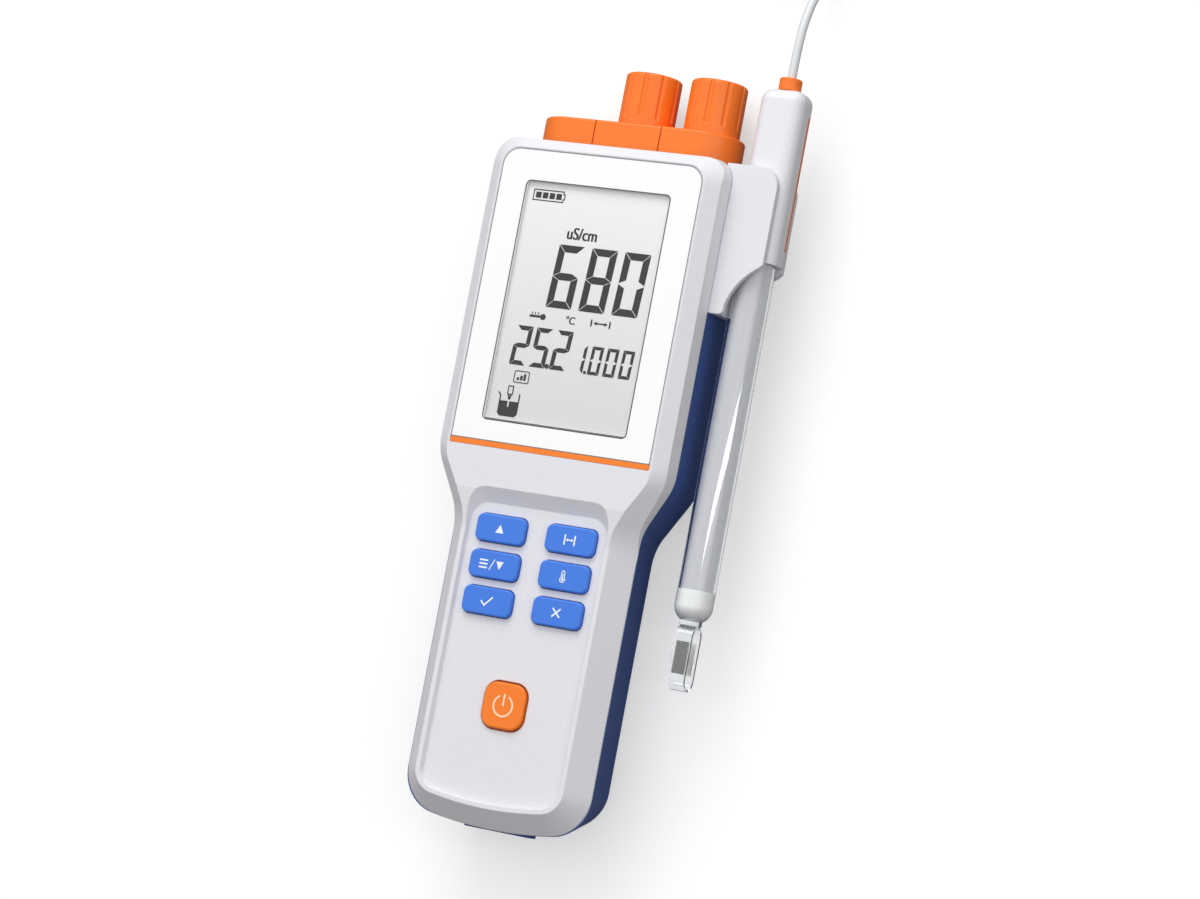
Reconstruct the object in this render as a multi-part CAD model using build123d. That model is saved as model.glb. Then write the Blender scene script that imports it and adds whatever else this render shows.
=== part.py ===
from build123d import *
import math
import os

# A handheld conductivity meter lying on its back, with its measuring cell in the holder on its side.
# Sizes are in millimetres. +X is the side that carries the cell, +Y points to the sockets and +Z is the
# way the display faces. The origin is on the rear rest face, under the middle of the housing.

# Housing
thickness = 38.0
split_depth = 8.9
half_head = 40.3
half_grip = 32.4
housing_top = 107.4
housing_bottom = -107.7
shoulder_y = 5.2
waist_y = -10.6
head_corner = 6.5
waist_bend = 17.0
foot_corner = 13.0
foot_bulge = 3.9
wall = 2.2
wall_draft = 0.8
back_head_draw = 2.5
back_grip_draw = 7.2
back_end_draw = 4.6
back_waist_drop = 4.0
back_corner = 12.0
back_round = 10.0
split_z = thickness - split_depth

# Bevel between the front plateau and the side walls
plateau_head = 35.6
plateau_grip = 24.6
plateau_top = 103.7
plateau_bottom = -100.2
plateau_shoulder = 5.0
plateau_waist = -12.9
plateau_corner = 6.2
plateau_bend = 12.0
plateau_foot = 6.5
plateau_bulge = 2.7
head_bevel_spread = 12.0
grip_bevel_spread = 7.7
end_bevel_spread = 10.0
foot_bevel_spread = 7.5
skirt_shoulder_rise = 3.5
skirt_waist_drop = 1.1
skirt_corner = 17.7
skirt_bend = 22.0
skirt_foot = 14.0
skirt_bulge = 4.0

# Lip and key field
lip_drop = 1.5
lip_ramp_start = -4.5
lip_ramp_end = -17.0
field_depth = 3.0
field_half = 23.9
field_top = -8.3
field_bottom = -99.6
field_corner = 6.0
field_bulge = 2.4
field_slope_run = 4.6
field_side_run = 0.8
field_skin = 1.8

# Front panel, window and strip
panel_half = 34.8
panel_top = 103.1
panel_bottom = 10.25
panel_thickness = 1.0
panel_corner = 5.5
panel_foot = 0.5
strip_height = 1.7
seam_gap = 0.1
window_half = 25.0
window_bottom = 17.0
window_top = 93.0
window_corner = 1.5

# Display stack
lcd_half = 27.0
lcd_bottom = 14.6
lcd_top = 95.4
lcd_thickness = 2.6
lcd_gap = 0.3
frame_wall = 1.4
backlight_thickness = 1.2
backlight_rise = 4.5
frame_ledge = 1.6
lcd_ledge = 3.0
strip_half = 24.0
strip_low = 1.0
strip_high = 3.6

# Main board and keypad
board_thickness = 1.6
board_head_half = 30.4
board_grip_half = 26.4
board_top = 98.0
board_bottom = -97.0
board_foot = 8.0
mat_thickness = 1.5
dome_height = 1.5
key_travel = 0.8
key_clearance = 0.25
key_flange = 0.9
key_flange_gap = 0.3
key_width = 17.0
key_height = 8.6
key_corner = 2.2
key_proud = 1.7
key_column = 12.2
key_rows = (-16.2, -27.5, -38.8)
key_names = ("key_up", "key_constant", "key_down", "key_temperature", "key_enter", "key_cancel")
mat_half = 24.0
mat_low = -79.5
dome_radius = 4.0
key_edge = 0.6
power_y = -69.6
power_size = 14.2
power_corner = 4.2
power_proud = 1.3
power_clearance = 0.6

# Screws
screw_radius = 1.2
screw_head_radius = 2.2
screw_head_height = 1.6
screw_bite = 3.6
cross_length = 2.6
cross_width = 0.6
countersink = 1.2
boss_radius = 2.8
case_screw_sites = [(34.0, 86.0), (34.0, 22.0), (22.0, -93.0)]
board_screw_sites = [(27.0, 4.5), (19.5, -56.5)]

# Socket header
header_half = 34.0
header_depth = 24.6
header_centre_z = 13.6
header_rise = 9.4
header_inner = 99.6
header_slot = 0.35
socket_pitch = 23.0
socket_radius = 6.3
socket_bore = 4.7
socket_stand = 12.0
socket_floor = 0.8
pin_radius = 0.5
pin_stand = 4.6
cap_radius = 9.0
cap_height = 17.4
cap_clearance = 0.2
cap_roof = 2.8
cap_grooves = 10
cap_groove_phase = -9.4
cap_groove_radius = 0.9
cap_groove_share = 0.8
socket_flange_y = 98.2
socket_flange_radius = 8.0
socket_board_thickness = 1.6
socket_board_half = 29.4
socket_board_height = 17.0
header_edge = 0.8
pin_circle = 2.4
pin_depth = 5.6
cap_edge = 1.2
cap_groove_out = 0.35

# Batteries
cell_radius = 5.25
cell_length = 44.5
cell_nub = 0.9
cell_nub_radius = 1.9
cell_edge = 0.5
cell_pitch = 10.8
cells = 3
bay_end_room = 2.8
bay_top_y = -36.5
bay_wall = 1.6
door_half = 18.0
door_thickness = 2.2
door_top_y = -33.0
door_clearance = 0.25
door_seat_lip = 2.0
thumb_ridges = 5
thumb_half = 7.0
thumb_pitch = 3.0
thumb_groove = 1.4
thumb_depth = 0.5
plate_half = 4.2
plate_sheet = 0.5
spring_radius = 3.2
spring_wire = 0.3
spring_rings = 4
spring_step = 0.35
cell_room = 0.3
tongue_reach = 0.9
tongue_low = 1.2
tongue_high = 2.0

# Gasket and the pad on the lower end
gasket_inset = 0.6
gasket_width = 1.0
gasket_depth = 0.8
lug_half = 11.3
lug_height = 5.0
lug_z = 22.5
case_seat_z = 4.0

# Holder on the side of the housing
holder_screw_ys = (70.0, 98.0)
holder_top = 106.8
holder_bottom = 59.9
holder_reach = 55.6
flange = 2.0
holder_fit = 0.3
holder_corner = 6.5
holder_foot_y = 76.6
holder_foot_cut = 1.3
holder_inner_corner = 3.5
tongue_x = 45.2
tongue_corner = 1.6
sweep_middle = (49.0, 70.6)
sweep_low_y = 63.0

# Measuring cell
probe_x = 50.0
probe_z = 20.7
handle_width = 14.8
handle_deep = 12.0
handle_corner = 4.0
handle_low = 77.7
handle_high = 132.3
shoulder_round = 3.8
handle_plug = 7.0
stripe_low = 82.8
stripe_high = 125.1
stripe_width = 1.3
stripe_offset = -2.2
stripe_deep = 0.8
collar_radius = 3.55
collar_height = 4.0
collar_edge = 0.5
tube_radius = 5.95
tube_wall = 0.75
tube_end = -33.6
tube_shoulder = 4.4
neck_radius = 3.5
neck_end = -35.2
sleeve_wall = 0.8
sleeve_end = -24.4
bulb_end_radius = 2.0
bulb_end_rise = 0.4
guard_width = 5.7
guard_deep = 7.1
guard_end = -55.3
guard_wall = 0.75
electrode_half = 2.1
electrode_length = 10.0
electrode_thickness = 0.3
lead_radius = 0.5
lead_circle = 1.6

# Cord and plug
cord_radius = 1.4
coil_mid_radius = 16.8
coil_columns = 2
coil_layers = 4
coil_lift = 0.1
coil_edge = 1.0
plug_radius = 6.2
plug_length = 17.0
plug_flutes = 12
plug_flute_radius = 0.7
plug_nose_length = 7.0
plug_nose_wall = 0.6
core_recess = 0.8
boot_length = 14.0
boot_thin_radius = 2.3
boot_thick_radius = 4.4
boot_rings = 4
boot_ring_pitch = 2.6
boot_ring_width = 1.1
fit = 0.1

# Points of the free cord, from the collar down to the coil and from the coil to the plug
cord_points = [(50.0, 136.3, 20.7), (50.0, 149.0, 20.7), (50.2, 160.5, 17.5), (50.2, 171.0, 10.5),
               (50.0, 181.5, 4.2), (50.0, 191.0, 1.5), (50.0, 200.0, 1.5)]
tail_points = [(31.8, 218.2, 9.9), (23.5, 218.1, 9.2), (15.0, 217.2, 7.4), (7.0, 216.6, 6.3)]


# Helpers for plain shapes

def box_between(x0, x1, y0, y1, z0, z1):
    """Box from its lowest corner to its highest corner."""
    return Pos((x0 + x1) / 2, (y0 + y1) / 2, (z0 + z1) / 2) * Box(x1 - x0, y1 - y0, z1 - z0)


def post(x, y, radius, low, high):
    """Round post along Z."""
    return Pos(x, y, low) * extrude(Circle(radius), high - low)


def rod(x, z, radius, low, high):
    """Round rod along Y."""
    return Pos(x, low, z) * Rot(-90, 0, 0) * extrude(Circle(radius), high - low)


def bar(sketch, x, z, low, high):
    """Straight bar along Y with the sketch as its section, the sketch's x along X and its y along -Z."""
    return Pos(x, low, z) * Rot(-90, 0, 0) * extrude(sketch, high - low)


def turned(points, x, z):
    """Turned piece on an axis along Y, from (radius, y) points of its half profile."""
    return Pos(x, 0, z) * revolve(make_face(Polyline(*points, close=True)), Axis.Y)


def both_sides(sites):
    """The sites and their mirror images across the middle of the housing."""
    return [(side * x, y) for x, y in sites for side in (-1, 1)]


def rounded_block(width, height, radius, x, y, low, high):
    """Upright block with rounded corners in plan."""
    return Pos(x, y, low) * extrude(RectangleRounded(width, height, radius), high - low)


# Plans of the housing

def plan(head, grip, top, bottom, shoulder, waist, corner, bend, foot, bulge):
    """Plan at one height: a wide head, a waist bent both ways, a narrow grip and a bowed lower end."""
    end = bottom + bulge
    corners = [(-grip, end), (-grip, waist), (-head, shoulder), (-head, top)]
    corners += [(-x, y) for x, y in reversed(corners)]
    face = make_face(Polyline(*corners) + ThreePointArc((grip, end), (0, bottom), (-grip, end)))
    for height, radius in ((top, corner), (shoulder, bend), (waist, bend), (end, foot)):
        face = fillet(corners_at(face, height), radius)
    return face


def corners_at(face, y):
    """Corners of a plan at one height."""
    return [corner for corner in face.vertices() if abs(corner.Y - y) < 0.001]


def field_plan(side, top, foot):
    """Plan of the key field with a bowed lower end, grown by the runs of its three slopes."""
    half = field_half + side
    end = field_bottom - foot
    sides = Polyline((-half, end + field_bulge), (-half, field_top + top), (half, field_top + top),
                     (half, end + field_bulge))
    face = make_face(sides + ThreePointArc((half, end + field_bulge), (0, end), (-half, end + field_bulge)))
    face = fillet(corners_at(face, field_top + top), field_corner)
    return fillet(corners_at(face, end + field_bulge), field_corner + foot)


def panel_plan(bottom, room):
    """Plan of the panel, grown by some room, with wide upper corners and tight lower ones."""
    block = Rectangle(2 * (panel_half + room), panel_top - bottom + 2 * room)
    face = Pos(0, (panel_top + bottom) / 2) * block
    face = fillet(corners_at(face, panel_top + room), panel_corner + room)
    return fillet(corners_at(face, bottom - room), panel_foot)


def between(lower, low, upper, high):
    """Solid with straight flanks from one plan up to another."""
    return loft([Pos(0, 0, low) * lower.face(), Pos(0, 0, high) * upper.face()], ruled=True)


def split_plan(inset=0.0):
    """Plan of the housing where the shells meet."""
    return plan(half_head - inset, half_grip - inset, housing_top - inset, housing_bottom + inset,
                shoulder_y, waist_y, head_corner, waist_bend, foot_corner, foot_bulge)


def back_plan(inset=0.0):
    """Plan of the housing at its back, before its edge is rounded."""
    return plan(half_head - back_head_draw - inset, half_grip - back_grip_draw - inset,
                housing_top - back_end_draw - inset, housing_bottom + back_end_draw + inset,
                shoulder_y, waist_y - back_waist_drop, back_corner, waist_bend, foot_corner, foot_bulge)


# Heights that the inner pieces share
ceiling_z = thickness - field_depth - field_skin
flange_top_z = ceiling_z - key_flange_gap
flange_low_z = flange_top_z - key_flange
dome_top_z = flange_low_z - key_travel - key_flange_gap
mat_top_z = dome_top_z - dome_height
board_top_z = mat_top_z - mat_thickness
board_low_z = board_top_z - board_thickness
pocket_z = thickness - panel_thickness - field_skin
strip_bottom = panel_bottom - seam_gap - strip_height
lcd_top_z = thickness - panel_thickness - lcd_gap
lcd_low_z = lcd_top_z - lcd_thickness
backlight_low_z = lcd_low_z - backlight_thickness


def plateau_plan(head, grip, top, bottom):
    """Plan of the front plateau, grown at the head, the grip and both ends."""
    return plan(plateau_head + head, plateau_grip + grip, plateau_top + top, plateau_bottom - bottom,
                plateau_shoulder, plateau_waist, plateau_corner, plateau_bend, plateau_foot, plateau_bulge)


def front_body():
    """Outside of the front shell: draughted walls under a bevel that widens from the head to the grip."""
    plateau = plateau_plan(0, 0, 0, 0)
    skirt = plan(plateau_head + head_bevel_spread, plateau_grip + grip_bevel_spread,
                 plateau_top + end_bevel_spread, plateau_bottom - foot_bevel_spread,
                 plateau_shoulder + skirt_shoulder_rise, plateau_waist - skirt_waist_drop,
                 skirt_corner, skirt_bend, skirt_foot, skirt_bulge)
    bevel = between(skirt, split_z, plateau, thickness)
    walls = between(split_plan(), split_z, split_plan(wall_draft), thickness)
    return bevel & walls


def front_shell():
    """White front shell with the panel seat, the display opening, the key field and its lip."""
    shell = front_body()
    ramp = make_face(Polyline((lip_ramp_start, thickness + 0.05), (lip_ramp_end, thickness - lip_drop),
                              (housing_bottom - 1, thickness - lip_drop),
                              (housing_bottom - 1, thickness + 5), (lip_ramp_start, thickness + 5),
                              close=True))
    shell -= Pos(-half_head, 0, 0) * (Plane.YZ * extrude(ramp, 2 * half_head))
    shell -= field_space()
    seat = panel_plan(strip_bottom, seam_gap)
    shell -= Pos(0, 0, thickness - panel_thickness) * extrude(seat, panel_thickness + 1)
    shell -= cavity()
    shell += front_bosses()
    shell -= box_between(-lcd_half - lcd_gap, lcd_half + lcd_gap, lcd_bottom - lcd_gap, lcd_top + lcd_gap,
                         pocket_z - 1, thickness)
    for x, y in both_sides([(key_column, row) for row in key_rows]):
        shell -= rounded_block(key_width + 2 * key_clearance, key_height + 2 * key_clearance,
                               key_corner + key_clearance, x, y, ceiling_z - 1, thickness)
    shell -= rounded_block(power_size + 2 * power_clearance, power_size + 2 * power_clearance,
                           power_corner + power_clearance, 0, power_y, ceiling_z - 1, thickness)
    return shell


def field_space():
    """Space over the key field: a flat floor, steep sides and a long slope at its upper end."""
    over = 0.2
    share = (field_depth + over) / field_depth
    rim = field_plan(field_side_run * share, field_slope_run * share, field_side_run * share)
    return between(field_plan(0, 0, 0), thickness - field_depth, rim, thickness + over)


def cavity():
    """Hollow of the front shell, with a pocket for the display frame."""
    hollow = between(split_plan(wall), split_z - 0.001, plateau_plan(0.6, 0.2, -1.4, -1.2), ceiling_z)
    frame_half = lcd_half + frame_wall + 2 * lcd_gap
    hollow += box_between(-frame_half, frame_half, lcd_bottom - frame_wall - 2 * lcd_gap,
                          lcd_top + frame_wall + 2 * lcd_gap, ceiling_z - 1, pocket_z)
    return hollow


def front_bosses():
    """Screw bosses that hang from the ceiling of the front shell, with their pilot holes."""
    bosses = Part()
    for x, y in both_sides(board_screw_sites):
        bosses += post(x, y, boss_radius, board_top_z, ceiling_z + 0.5)
    for x, y in both_sides(case_screw_sites):
        bosses += post(x, y, boss_radius, split_z, ceiling_z + 0.5)
    for x, y in both_sides(board_screw_sites):
        bosses -= post(x, y, screw_radius + fit / 2, board_top_z - 1, ceiling_z)
    for x, y in both_sides(case_screw_sites):
        bosses -= post(x, y, screw_radius + fit / 2, split_z - 1, ceiling_z)
    return bosses


def rear_body():
    """Outside of the rear shell, with its back edge rounded."""
    block = between(back_plan(), 0, split_plan(), split_z)
    back = block.faces().sort_by(Axis.Z)[0]
    return fillet(back.edges(), back_round)


def rear_hollow():
    """Hollow of the rear shell."""
    block = between(back_plan(wall), wall, split_plan(wall), split_z + 0.001)
    back = block.faces().sort_by(Axis.Z)[0]
    return fillet(back.edges(), back_round - wall)


def stadium(half, height):
    """Oblong with round ends on its shorter sides."""
    return RectangleRounded(2 * half, height, min(half, height / 2) - 0.001)


bay_low_z = door_thickness + holder_fit
bay_top_z = bay_low_z + 2 * cell_radius + holder_fit
bay_half = cell_pitch + cell_radius + holder_fit
bay_length = cell_length + cell_nub + bay_end_room
bay_bottom_y = bay_top_y - bay_length
door_end_y = housing_bottom - 1
face_y = housing_top + header_rise
holder_web_x = probe_x - handle_width / 2 - holder_fit
holder_boss_depth = 12.0


def rear_shell(body):
    """Blue rear shell with the battery bay, the door seat, screw posts and the header opening."""
    shell = body - rear_hollow()
    inside = box_between(-bay_half - bay_wall, bay_half + bay_wall, bay_bottom_y - bay_wall,
                         bay_top_y + bay_wall, 0, bay_top_z + bay_wall)
    seat_half = door_half + door_seat_lip
    inside += box_between(-seat_half, seat_half, housing_bottom, door_top_y + bay_wall,
                          0, door_thickness + door_clearance + bay_wall)
    for x, y in both_sides(case_screw_sites):
        inside += post(x, y, boss_radius, 0, split_z)
    for y in holder_screw_ys:
        inside += side_rod(y, boss_radius, holder_boss_depth)
    shell += inside & body
    shell -= box_between(-bay_half, bay_half, bay_bottom_y, bay_top_y, -1, bay_top_z)
    gap = door_clearance
    shell -= box_between(-door_half - gap, door_half + gap, door_end_y, door_top_y + gap, -1,
                         door_thickness + gap)
    reach = door_half + tongue_reach + gap
    shell -= box_between(-reach, reach, door_end_y, bay_top_y + gap, tongue_low - gap, tongue_high + gap)
    for x, y in both_sides(case_screw_sites):
        shell -= post(x, y, screw_radius + fit, -1, split_z + 1)
        shell -= post(x, y, screw_head_radius + fit, -1, case_seat_z)
    for y in holder_screw_ys:
        shell -= side_rod(y, screw_radius + fit / 2, holder_boss_depth - 1)
    shell -= bar(stadium(header_half + fit, header_depth + 2 * fit), 0, header_centre_z, header_inner,
                 housing_top + 1)
    groove = split_plan(gasket_inset) - split_plan(gasket_inset + gasket_width)
    shell -= Pos(0, 0, split_z - gasket_depth) * extrude(groove, gasket_depth + 1)
    return shell + foot_lug(body)


def foot_lug(body):
    """Low pad with a straight edge on the lower end of the rear shell."""
    pad = box_between(-lug_half, lug_half, housing_bottom - 0.3, housing_bottom + 4.0,
                      lug_z - lug_height / 2, lug_z + lug_height / 2)
    return pad - rear_hollow()


def side_rod(y, radius, depth):
    """Round rod that points into the side of the housing from the inner face of the holder's web."""
    return Pos(holder_web_x - depth, y, probe_z) * Rot(0, 90, 0) * extrude(Circle(radius), depth)


def gasket():
    """Sealing cord in the groove of the rear shell."""
    ring = split_plan(gasket_inset) - split_plan(gasket_inset + gasket_width)
    return Pos(0, 0, split_z - gasket_depth) * extrude(ring, gasket_depth)


# Display

def front_panel():
    """Glossy panel with its upper corners rounded and the window cut out."""
    plate = Pos(0, 0, thickness - panel_thickness) * extrude(panel_plan(panel_bottom, 0), panel_thickness)
    return plate - display_window()


def display_window():
    """Clear window, flush in the panel."""
    return rounded_block(2 * window_half, window_top - window_bottom, window_corner, 0,
                         (window_top + window_bottom) / 2, thickness - panel_thickness, thickness)


def accent_strip():
    """Strip that closes the lower edge of the panel."""
    return rounded_block(2 * panel_half, strip_height, panel_foot, 0, strip_bottom + strip_height / 2,
                         thickness - panel_thickness, thickness)


def lcd_cell():
    """Display glass: a lower plate with a contact ledge under a shorter upper plate."""
    middle_z = (lcd_low_z + lcd_top_z) / 2
    upper = box_between(-lcd_half, lcd_half, lcd_bottom + lcd_ledge, lcd_top, middle_z, lcd_top_z)
    return upper + box_between(-lcd_half, lcd_half, lcd_bottom, lcd_top, lcd_low_z, middle_z)


def lcd_backlight():
    """Diffusing plate under the display glass."""
    return box_between(-lcd_half, lcd_half, lcd_bottom + backlight_rise, lcd_top, backlight_low_z, lcd_low_z)


def lcd_frame():
    """Frame that stands on the board and holds the display glass and its diffuser."""
    inner = lcd_half + fit
    outer = inner + frame_wall
    low, high = lcd_bottom - fit, lcd_top + fit
    frame = box_between(-outer, outer, low - frame_wall, high + frame_wall, board_top_z, pocket_z - lcd_gap)
    frame -= box_between(-inner, inner, low, high, backlight_low_z, thickness)
    frame -= box_between(-inner + frame_ledge, inner - frame_ledge, lcd_bottom + backlight_rise + frame_ledge,
                         high - frame_ledge, board_top_z - 1, thickness)
    return frame - box_between(-strip_half - fit, strip_half + fit, lcd_bottom + strip_low - fit,
                               lcd_bottom + strip_high + fit, board_top_z - 1, thickness)


def lcd_connector():
    """Elastomer strip that joins the glass to the board."""
    return box_between(-strip_half, strip_half, lcd_bottom + strip_low, lcd_bottom + strip_high,
                       board_top_z, lcd_low_z)


# Board and keypad

def main_board():
    """Board with the plan of the housing, cut away round the case screws."""
    outline = plan(board_head_half, board_grip_half, board_top, board_bottom, plateau_shoulder - 2.0,
                   plateau_waist + 3.0, 3.0, 8.0, board_foot, field_bulge)
    board = Pos(0, 0, board_low_z) * extrude(outline, board_thickness)
    for x, y in both_sides(board_screw_sites):
        board -= post(x, y, screw_radius + fit, board_low_z - 1, board_top_z + 1)
    for x, y in both_sides(case_screw_sites):
        board -= post(x, y, boss_radius + holder_fit, board_low_z - 1, board_top_z + 1)
    return board


def board_components():
    """Converter, processor, regulators and capacitors soldered under the board."""
    chips = Part()
    for x, y, width, length, height in ((0, 60, 14, 14, 1.6), (-16, 62, 6, 8, 1.4), (17, 58, 7, 5, 1.4),
                                        (0, 30, 10, 10, 1.4), (-15, -30, 8, 6, 2.0), (14, -30, 5, 10, 1.4)):
        chips += box_between(x - width / 2, x + width / 2, y - length / 2, y + length / 2,
                             board_low_z - height, board_low_z)
    for x, y in ((-20, 80), (20, 80), (-8, 8), (10, -48)):
        chips += post(x, y, 2.5, board_low_z - 5.0, board_low_z)
    return chips


def screws_up(sites, seat, tip):
    """Pan-head screws that point up, with their heads under the seat."""
    group = Part()
    for x, y in both_sides(sites):
        group += post(x, y, screw_head_radius, seat - screw_head_height, seat)
        group += post(x, y, screw_radius, seat, tip)
        low = seat - screw_head_height
        for width, length in ((cross_width, cross_length), (cross_length, cross_width)):
            group -= box_between(x - width / 2, x + width / 2, y - length / 2, y + length / 2,
                                 low - 1, low + cross_width)
    return group


def keypad_mat():
    """Rubber mat with a dome under each key."""
    mat_high = key_rows[0] + key_height
    mat = rounded_block(2 * mat_half, mat_high - mat_low, dome_radius, 0, (mat_high + mat_low) / 2,
                        board_top_z, mat_top_z)
    for x, y in both_sides(board_screw_sites[1:]):
        mat -= post(x, y, boss_radius + holder_fit, board_top_z - 1, mat_top_z + 1)
    dome = extrude(Circle(dome_radius), dome_height, taper=20)
    for x, y in both_sides([(key_column, row) for row in key_rows]) + [(0, power_y)]:
        mat += Pos(x, y, mat_top_z) * dome
    return mat


def key_cap(width, height, corner, proud, x, y):
    """Key with a soft upper edge, over a flange that keeps it under the skin of the shell."""
    top = thickness - field_depth + proud
    cap = rounded_block(width, height, corner, x, y, flange_low_z, top)
    cap = fillet(cap.faces().sort_by(Axis.Z)[-1].edges(), key_edge)
    return cap + rounded_block(width + 2 * key_flange, height + 2 * key_flange, corner + key_flange, x, y,
                               flange_low_z, flange_top_z)


# Socket header

def header_piece(low_x, high_x):
    """One piece of the header between two seams, with its outer edge rounded."""
    block = bar(stadium(header_half, header_depth), 0, header_centre_z, header_inner, face_y)
    block = fillet(block.faces().sort_by(Axis.Y)[-1].edges(), header_edge)
    return block & box_between(low_x, high_x, 0, 200, -50, 50)


def header_bore(x):
    """Way through the header for one socket."""
    return rod(x, header_centre_z, socket_radius + fit, header_inner - 1, face_y + 1)


def socket(x, pins):
    """Round socket with a rear flange and a deep mouth, and the holes for its pins."""
    profile = [(0, socket_flange_y), (socket_flange_radius, socket_flange_y),
               (socket_flange_radius, header_inner), (socket_radius, header_inner),
               (socket_radius, face_y + socket_stand), (socket_bore, face_y + socket_stand),
               (socket_bore, face_y + socket_floor), (0, face_y + socket_floor)]
    shell = turned(profile, x, header_centre_z)
    for pin in pin_rods(x, pins):
        shell -= pin
    return shell


def pin_rods(x, pins):
    """Contact pins in a ring."""
    floor = face_y + socket_floor
    return [rod(x + dx, header_centre_z + dz, pin_radius, floor - pin_depth, floor + pin_stand)
            for dx, dz in ring_of(pins, pin_circle)]


def ring_of(count, radius, phase=0.0):
    """Places evenly round a circle, as pairs."""
    turns = [phase + 2 * math.pi * i / count for i in range(count)]
    return [(radius * math.cos(turn), radius * math.sin(turn)) for turn in turns]


def group_of(pieces):
    """Separate solids that share a node."""
    return Part() + pieces


def socket_cap(x):
    """Push-on cap with grip grooves that end in a round, over the barrel of a socket."""
    low = face_y + cap_clearance
    high = face_y + cap_height
    cap = rod(x, header_centre_z, cap_radius, low, high)
    cap = fillet(cap.faces().sort_by(Axis.Y)[-1].edges(), cap_edge)
    groove_low = high - cap_height * cap_groove_share
    phase = math.radians(90 + cap_groove_phase)
    for dx, dz in ring_of(cap_grooves, cap_radius + cap_groove_out, phase):
        cap -= rod(x + dx, header_centre_z + dz, cap_groove_radius, groove_low, high + 1)
        cap -= Pos(x + dx, groove_low, header_centre_z + dz) * Sphere(cap_groove_radius)
    return cap - rod(x, header_centre_z, socket_radius + cap_clearance, low - 1, high - cap_roof)


def socket_board():
    """Small board that carries both sockets behind the header."""
    section = RectangleRounded(2 * socket_board_half, socket_board_height, head_corner)
    return bar(section, 0, header_centre_z, socket_flange_y - socket_board_thickness, socket_flange_y)


# Batteries

def cell_ends(index):
    """Where a cell's flat end and its nub's face lie, and the way from the one to the other."""
    if index % 2:
        nub = bay_bottom_y + plate_sheet + cell_room
        return nub + cell_nub + cell_length, nub, -1
    nub = bay_top_y - plate_sheet - cell_room
    return nub - cell_nub - cell_length, nub, 1


def battery_cell(index):
    """One cell with its terminal nub."""
    flat, nub, way = cell_ends(index)
    x, z = cell_pitch * (index - 1), bay_low_z + cell_radius
    can_end = flat + way * cell_length
    can = fillet(rod(x, z, cell_radius, min(flat, can_end), max(flat, can_end)).edges(), cell_edge)
    return can + rod(x, z, cell_nub_radius, min(nub, can_end), max(nub, can_end))


def battery_plates():
    """Contact plates at the nub end of each cell."""
    plates = Part()
    for index in range(cells):
        plates += contact_plate(index, bay_bottom_y if index % 2 else bay_top_y - plate_sheet)
    return plates


def contact_plate(index, y):
    """Sheet-metal plate across one end of the bay."""
    x, z = cell_pitch * (index - 1), bay_low_z + cell_radius
    return box_between(x - plate_half, x + plate_half, y, y + plate_sheet, z - plate_half, z + plate_half)


def battery_springs():
    """Contact springs at the flat end of each cell, each on its plate."""
    springs = Part()
    z = bay_low_z + cell_radius
    for index in range(cells):
        flat, _, way = cell_ends(index)
        wall_y = bay_bottom_y if way > 0 else bay_top_y
        springs += contact_plate(index, min(wall_y, wall_y + way * plate_sheet))
        first = wall_y + way * (plate_sheet + spring_wire)
        step = (flat - way * spring_wire - first) / (spring_rings - 1)
        for ring in range(spring_rings):
            loop = Torus(spring_radius - spring_step * ring, spring_wire)
            springs += Pos(cell_pitch * (index - 1), first + step * ring, z) * Rot(90, 0, 0) * loop
    return springs


def battery_door(body):
    """Sliding door that follows the curve of the lower end, with a tongue along each side."""
    door = box_between(-door_half, door_half, door_end_y, door_top_y, 0, door_thickness)
    door += box_between(-door_half - tongue_reach, door_half + tongue_reach, bay_bottom_y, bay_top_y,
                        tongue_low, tongue_high)
    door &= body
    for i in range(thumb_ridges):
        low = bay_bottom_y + thumb_pitch * i
        door -= box_between(-thumb_half, thumb_half, low, low + thumb_groove, -1, thumb_depth)
    return door


# Holder and measuring cell

def holder_outline():
    """Front view of the holder: a flange that sweeps in below the handle to a narrow tongue."""
    inner = half_head - back_head_draw
    foot = (holder_reach - holder_foot_cut, holder_foot_y - holder_foot_cut)
    tongue = (tongue_x, sweep_low_y)
    upper = Polyline((inner, holder_bottom), (inner, holder_top), (holder_reach, holder_top),
                     (holder_reach, holder_foot_y), foot)
    lower = Polyline(tongue, (tongue_x, holder_bottom), (inner, holder_bottom))
    face = make_face(upper + ThreePointArc(foot, sweep_middle, tongue) + lower)
    rounds = ((holder_reach, holder_top, holder_corner), (inner, holder_bottom, holder_inner_corner),
              (tongue_x, holder_bottom, tongue_corner))
    for x, y, radius in rounds:
        face = fillet([corner for corner in corners_at(face, y) if abs(corner.X - x) < 0.001], radius)
    return face


def probe_holder(body):
    """Channel of two flanges and a web, with a step in the web that stops the handle."""
    low = probe_z - handle_deep / 2 - holder_fit
    high = probe_z + handle_deep / 2 + holder_fit
    holder = Pos(0, 0, low - flange) * extrude(holder_outline(), high - low + 2 * flange)
    stop_y = handle_low - holder_fit
    beyond = holder_reach + 1
    holder -= box_between(holder_web_x, beyond, stop_y, holder_top + 1, low, high)
    holder -= box_between(probe_x - tube_radius - holder_fit, beyond, holder_bottom - 1, stop_y, low, high)
    for y in holder_screw_ys:
        holder -= side_rod(y, screw_radius + fit, holder_boss_depth) + side_cone(y, fit)
    return holder - body


def side_cone(y, room):
    """Countersunk head, flush with the web and pointing into the housing."""
    head = Cone(screw_radius + room, screw_head_radius + room, countersink)
    return Pos(holder_web_x - countersink / 2, y, probe_z) * Rot(0, 90, 0) * head


def holder_screws():
    """Countersunk screws that hold the web to the rear shell."""
    return group_of([side_rod(y, screw_radius, holder_boss_depth - 1.5) + side_cone(y, 0)
                     for y in holder_screw_ys])


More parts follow.
